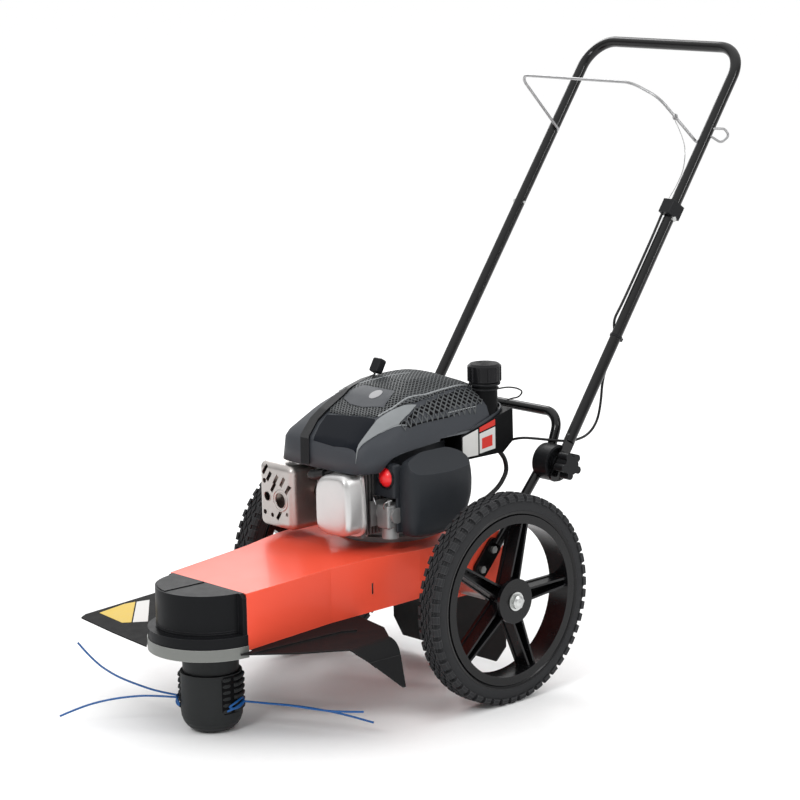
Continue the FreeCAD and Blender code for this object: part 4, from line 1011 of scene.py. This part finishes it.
ABOVE_SHIELD = 400
SHIELD_LABELS = (
    # name, corners as (x, distance behind the axle), material
    ("shield_label_yellow", ((-216, -538), (-203, -526), (-296, -446), (-304, -466), (-302, -528)),
     LABEL_YELLOW),
    ("shield_label_white", ((-201, -524), (-180, -504), (-282, -422), (-294, -444)), LABEL_WHITE),
)
TANK_LABELS = (
    # name, corners as (distance behind the axle, height), material, lift off the tank
    ("tank_label_white", ((21, 452), (62, 452), (62, 503), (21, 493)), LABEL_WHITE, 0.05),
    ("tank_label_red", ((66, 496), (108, 504), (108, 516), (66, 505)), LABEL_RED, 0.05),
    ("tank_label_pale", ((66, 454), (108, 458), (108, 501), (66, 493)), LABEL_WHITE, 0.05),
    ("tank_label_mark", ((72, 462), (100, 465), (100, 487), (72, 483)), LABEL_RED, 0.35),
)


def make_labels():
    """Plain colour blocks where the labels are, with nothing written on them."""
    shield = cad_surface("debris_shield")

    def on_shield(x, y):
        return shield.ray_cast(at(x, y, ABOVE_SHIELD), -UP)[0]

    for name, corners, material in SHIELD_LABELS:
        plate(name, [on_shield(x, y) for x, y in corners], 0.05, 0.3, material, "frame")
    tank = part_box("fuel_tank")[1][0] / MM
    for name, corners, material, lift in TANK_LABELS:
        plate(name, [at(tank, y, z) for y, z in corners], lift, 0.25, material, "frame")


make_labels()


GUARD_RINGS = (
    # name, x, height, radius, thickness
    ("guard_ring_outer", -95, 375, 21.0, 1.3),
    ("guard_ring_inner", -95, 375, 15.6, 1.1),
    ("guard_ring_small", -134, 378, 9.6, 0.9),
)
NECK_COLLARS = (
    # height, radius, thickness
    (583.0, 28.0, 3.2),
    (573.0, 26.0, 2.2),
)
LINK_RADIUS = 1.1
THROTTLE_LINK = ((118, -183, 392), (112, -184, 404), (104, -178, 408), (101, -160, 402))
CHOKE_LINK = ((136, -180, 386), (140, -184, 396), (148, -182, 402), (150, -172, 403))


def make_engine_details():
    """Pressed rings on the muffler guard, collars on the filler neck, and the throttle and choke links."""
    front = (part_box("muffler_guard")[0][1] - AXLE.y) / MM
    for name, x, height, radius, thickness in GUARD_RINGS:
        ring(name, at(x, front, height), BACK, radius, thickness, GUARD_STEEL, "frame", "muffler_guard")
    neck = centre_of("fuel_cap")
    for number, (height, radius, thickness) in enumerate(NECK_COLLARS):
        ring("neck_collar_" + str(number + 1), Vector((neck.x, neck.y, height * MM)), UP, radius, thickness,
             BLACK, "frame", "fuel_tank")
    for name, route in (("throttle_link", THROTTLE_LINK), ("choke_link", CHOKE_LINK)):
        rod(name, [at(*point) for point in route], LINK_RADIUS, BRIGHT_WIRE, "frame")


make_engine_details()


HOUSING_EDGE_PLAN = ((82, -167), (98, -167), (98, -150), (82, -150))
HOUSING_EDGE_HEIGHTS = (402, 466)
BEZEL_PLACE = (130, -168.4, 444)
BEZEL_RADIUS = 20.6
BEZEL_THICKNESS = 2.4


def make_primer_housing():
    """The edge of the air filter's base beside the cylinder, and the ring round the primer bulb."""
    verts, faces = [], []
    add_block(verts, faces, [at(x, y, z) for z in HOUSING_EDGE_HEIGHTS for x, y in HOUSING_EDGE_PLAN])
    edge = built("primer_housing_edge", verts, faces, FILTER_PLASTIC, "frame", flat=True)
    bevel(edge, 2.5)
    ring("primer_bezel", at(*BEZEL_PLACE), BACK, BEZEL_RADIUS, BEZEL_THICKNESS, GLOSS_BLACK, "frame",
         "air_filter_base")


make_primer_housing()


# (radius, height) sections; the window is in degrees about the crankshaft
HOUSING_LOW_LIP = [(92.5, 374), (98, 374), (98, 370), (90, 370)]
HOUSING_HIGH_LIP = [(90, 499), (99, 499), (99, 494), (92.5, 494)]
HOUSING_WINDOW = (38, 96)
HOUSING_WINDOW_HEIGHTS = (412, 446)
HOUSING_RIBS = 18
RIB_HEIGHTS = (373, 495)
RIB_REACH = (91.5, 97)
RIB_HALF_WIDTH = 1.4


def swept_wall(verts, faces, section, foot, first, last, steps):
    """A closed section swept about the upright line through foot, from first to last degrees."""
    start = len(verts)
    count = len(section)
    for step in range(steps + 1):
        out = Vector((*heading(first + (last - first) * step / steps), 0))
        for radius, height in section:
            verts.append(foot + out * (radius * MM) + Vector((0, 0, height * MM)))
    for step in range(steps):
        near = start + step * count
        for index in range(count):
            after = (index + 1) % count
            faces.append((near + index, near + count + index, near + count + after, near + after))
    faces.append(tuple(range(start, start + count)))
    faces.append(tuple(reversed(range(start + steps * count, start + (steps + 1) * count))))


def make_blower_housing():
    """The ribbed drum under the shroud, with a window for the brake lever to swing out through."""
    crank = centre_of("crankshaft")
    foot = Vector((crank.x, crank.y, 0))
    verts, faces = [], []
    start, end = HOUSING_WINDOW
    low, high = HOUSING_WINDOW_HEIGHTS
    below = [(90, low), (92.5, low)] + HOUSING_LOW_LIP
    above = HOUSING_HIGH_LIP + [(92.5, high), (90, high)]
    swept_wall(verts, faces, HOUSING_HIGH_LIP + HOUSING_LOW_LIP, foot, end, start + 360, 84)
    swept_wall(verts, faces, below, foot, start, end, 14)
    swept_wall(verts, faces, above, foot, start, end, 14)
    near, far = RIB_REACH
    for rib in range(HOUSING_RIBS):
        angle = (rib + 0.5) * 360 / HOUSING_RIBS
        if start - 4 < angle < end + 4:
            continue
        out = Vector((*heading(angle), 0))
        aside = Vector((-out.y, out.x, 0)) * (RIB_HALF_WIDTH * MM)
        corners = []
        for height in RIB_HEIGHTS:
            for reach, edge in ((near, -1), (far, -1), (far, 1), (near, 1)):
                corners.append(foot + out * (reach * MM) + aside * edge + Vector((0, 0, height * MM)))
        add_block(verts, faces, corners)
    built("blower_housing", verts, faces, BLACK, "frame")


make_blower_housing()

# outline as (distance behind the axle, height); levels as (x, distance the outline is drawn in)
FILTER_OUTLINE = [(-152, 470), (-122, 480), (-84, 487), (-30, 486), (4, 470), (13, 430), (10, 388),
                  (-12, 350), (-62, 326), (-120, 326), (-152, 332), (-153, 400)]
FILTER_LEVELS = ((152.4, 0.0), (168, 0.0), (177, 1.2), (184, 4.0), (188.6, 8.0), (191.2, 13.5), (192.0, 20.0),
                 (192.0, 34.0))
FILTER_MIDDLE = -70
FILTER_HALF = 83
FILTER_BULGE = 7
FILTER_ROOT = 152.4
FILTER_FRONT = 192.0
FACET_FOOT = 448
FACET_SLOPE = (0.68, 0.0, 0.73)
STRIP_WIDTH = 8


def bisected(form, place, normal, clear=False):
    """Cuts a bmesh along a plane, clears what is beyond it if asked, and gives what lies on the cut."""
    everything = form.verts[:] + form.edges[:] + form.faces[:]
    return bmesh.ops.bisect_plane(form, geom=everything, plane_co=place, plane_no=normal,
                                  clear_outer=clear)["geom_cut"]


def make_filter_lid():
    """The air filter's outer half: its face bulges, so the sloping facet at its top ends in an arc."""
    lid = pillow("air_filter_lid", FILTER_OUTLINE, lambda y, z, x: at(x, y, z), FILTER_LEVELS, FILTER_PLASTIC,
                 "frame", "air_filter_cover")
    with edited(lid.data) as form:
        for step in range(-9, 10):
            bisected(form, at(0, FILTER_MIDDLE + STRIP_WIDTH * step, 0), BACK)
        for vert in form.verts:
            share = ((vert.co.x - AXLE.x) / MM - FILTER_ROOT) / (FILTER_FRONT - FILTER_ROOT)
            along = ((vert.co.y - AXLE.y) / MM - FILTER_MIDDLE) / FILTER_HALF
            vert.co.x -= max(share, 0.0) * FILTER_BULGE * along ** 2 * MM
        cut = bisected(form, at(FILTER_FRONT, 0, FACET_FOOT), FACET_SLOPE, clear=True)
        rim = [item for item in cut if isinstance(item, bmesh.types.BMEdge)]
        bmesh.ops.contextual_create(form, geom=rim)
        bmesh.ops.recalc_face_normals(form, faces=form.faces)
    smooth(lid, 24.0)
    bevel(lid, 1.6, segments=3, angle=24.0)


make_filter_lid()

# outline as (x, height)
COVER_OUTLINE = [(18, 344), (17, 385), (18, 428), (34, 446), (60, 452), (106, 455), (111, 400), (112, 350),
                 (97, 335), (60, 333), (34, 334)]


def make_valve_cover():
    """The pressed valve cover: a narrow flange at its back and a wide round edge at its front."""
    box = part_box("valve_cover")
    front = (box[0][1] - AXLE.y) / MM
    back = (box[1][1] - AXLE.y) / MM
    levels = ((back, -3.6), (back - 4.4, -3.6), (back - 4.6, 0.0), (front + 12, 0.0), (front + 6, 1.0),
              (front + 2.4, 3.2), (front + 0.6, 6.4), (front, 10.0), (front, 18.0))
    pillow("valve_cover_pressing", COVER_OUTLINE, lambda x, z, y: at(x, y, z), levels, STAMPED, "frame",
           "valve_cover")


make_valve_cover()


ROPE_DIRECTION = Vector((0, 0.5, 0.866))
ROPE_RADIUS = 2.0
ROPE_STEPS = (-32, -26, -20, -15, -10)


def make_starter_rope():
    """The starter rope, a short rod between the frame and the grip."""
    grip = centre_of("starter_grip")
    rope = rod("starter_rope", [grip + ROPE_DIRECTION * (step * MM) for step in ROPE_STEPS], ROPE_RADIUS,
               SOFT_RUBBER, None)
    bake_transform(rope)


make_starter_rope()


# ---- control cable

CABLE_RADIUS = 2.6
BARE_WIRE_RADIUS = 0.9
# points on the handle are given to on_handle, the others to at
LOOP_ON_HANDLE = ((195.5, 268, -16), (195, 247, -24.75))
LOOP_FREE = (
    (194.5, 354, 566), (194, 350, 520), (194, 339, 482), (193, 313, 459), (190, 275, 453), (186, 236, 459),
    (166, 200, 466), (136, 182, 467), (108, 172, 457), (92, 150, 439), (76, 112, 431), (62, 80, 428.5),
    (46.5, 49.4, 428))
INNER_WIRE = ((166.8, 597.5, 1055.4), (182, 606, 1022), (189, 604, 984), (196, 583, 944))
INNER_WIRE_END = (203.5, 583, 16)


def make_cable():
    """The sheath's loop, which leaves the handle, and the bare wire that runs from near the bail to the
    handle.
    """
    route = [on_handle(*point) for point in LOOP_ON_HANDLE] + [at(*point) for point in LOOP_FREE]
    loop = rod("cable_loop_sheath", route, CABLE_RADIUS, SOFT_RUBBER, None)
    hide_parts("cable_loop")
    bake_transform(loop)
    wire_route = [at(*point) for point in INNER_WIRE] + [on_handle(*INNER_WIRE_END)]
    wire = rod("cable_bare_wire", wire_route, BARE_WIRE_RADIUS, BRIGHT_WIRE, None)
    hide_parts("cable_inner_wire")
    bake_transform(wire)


make_cable()
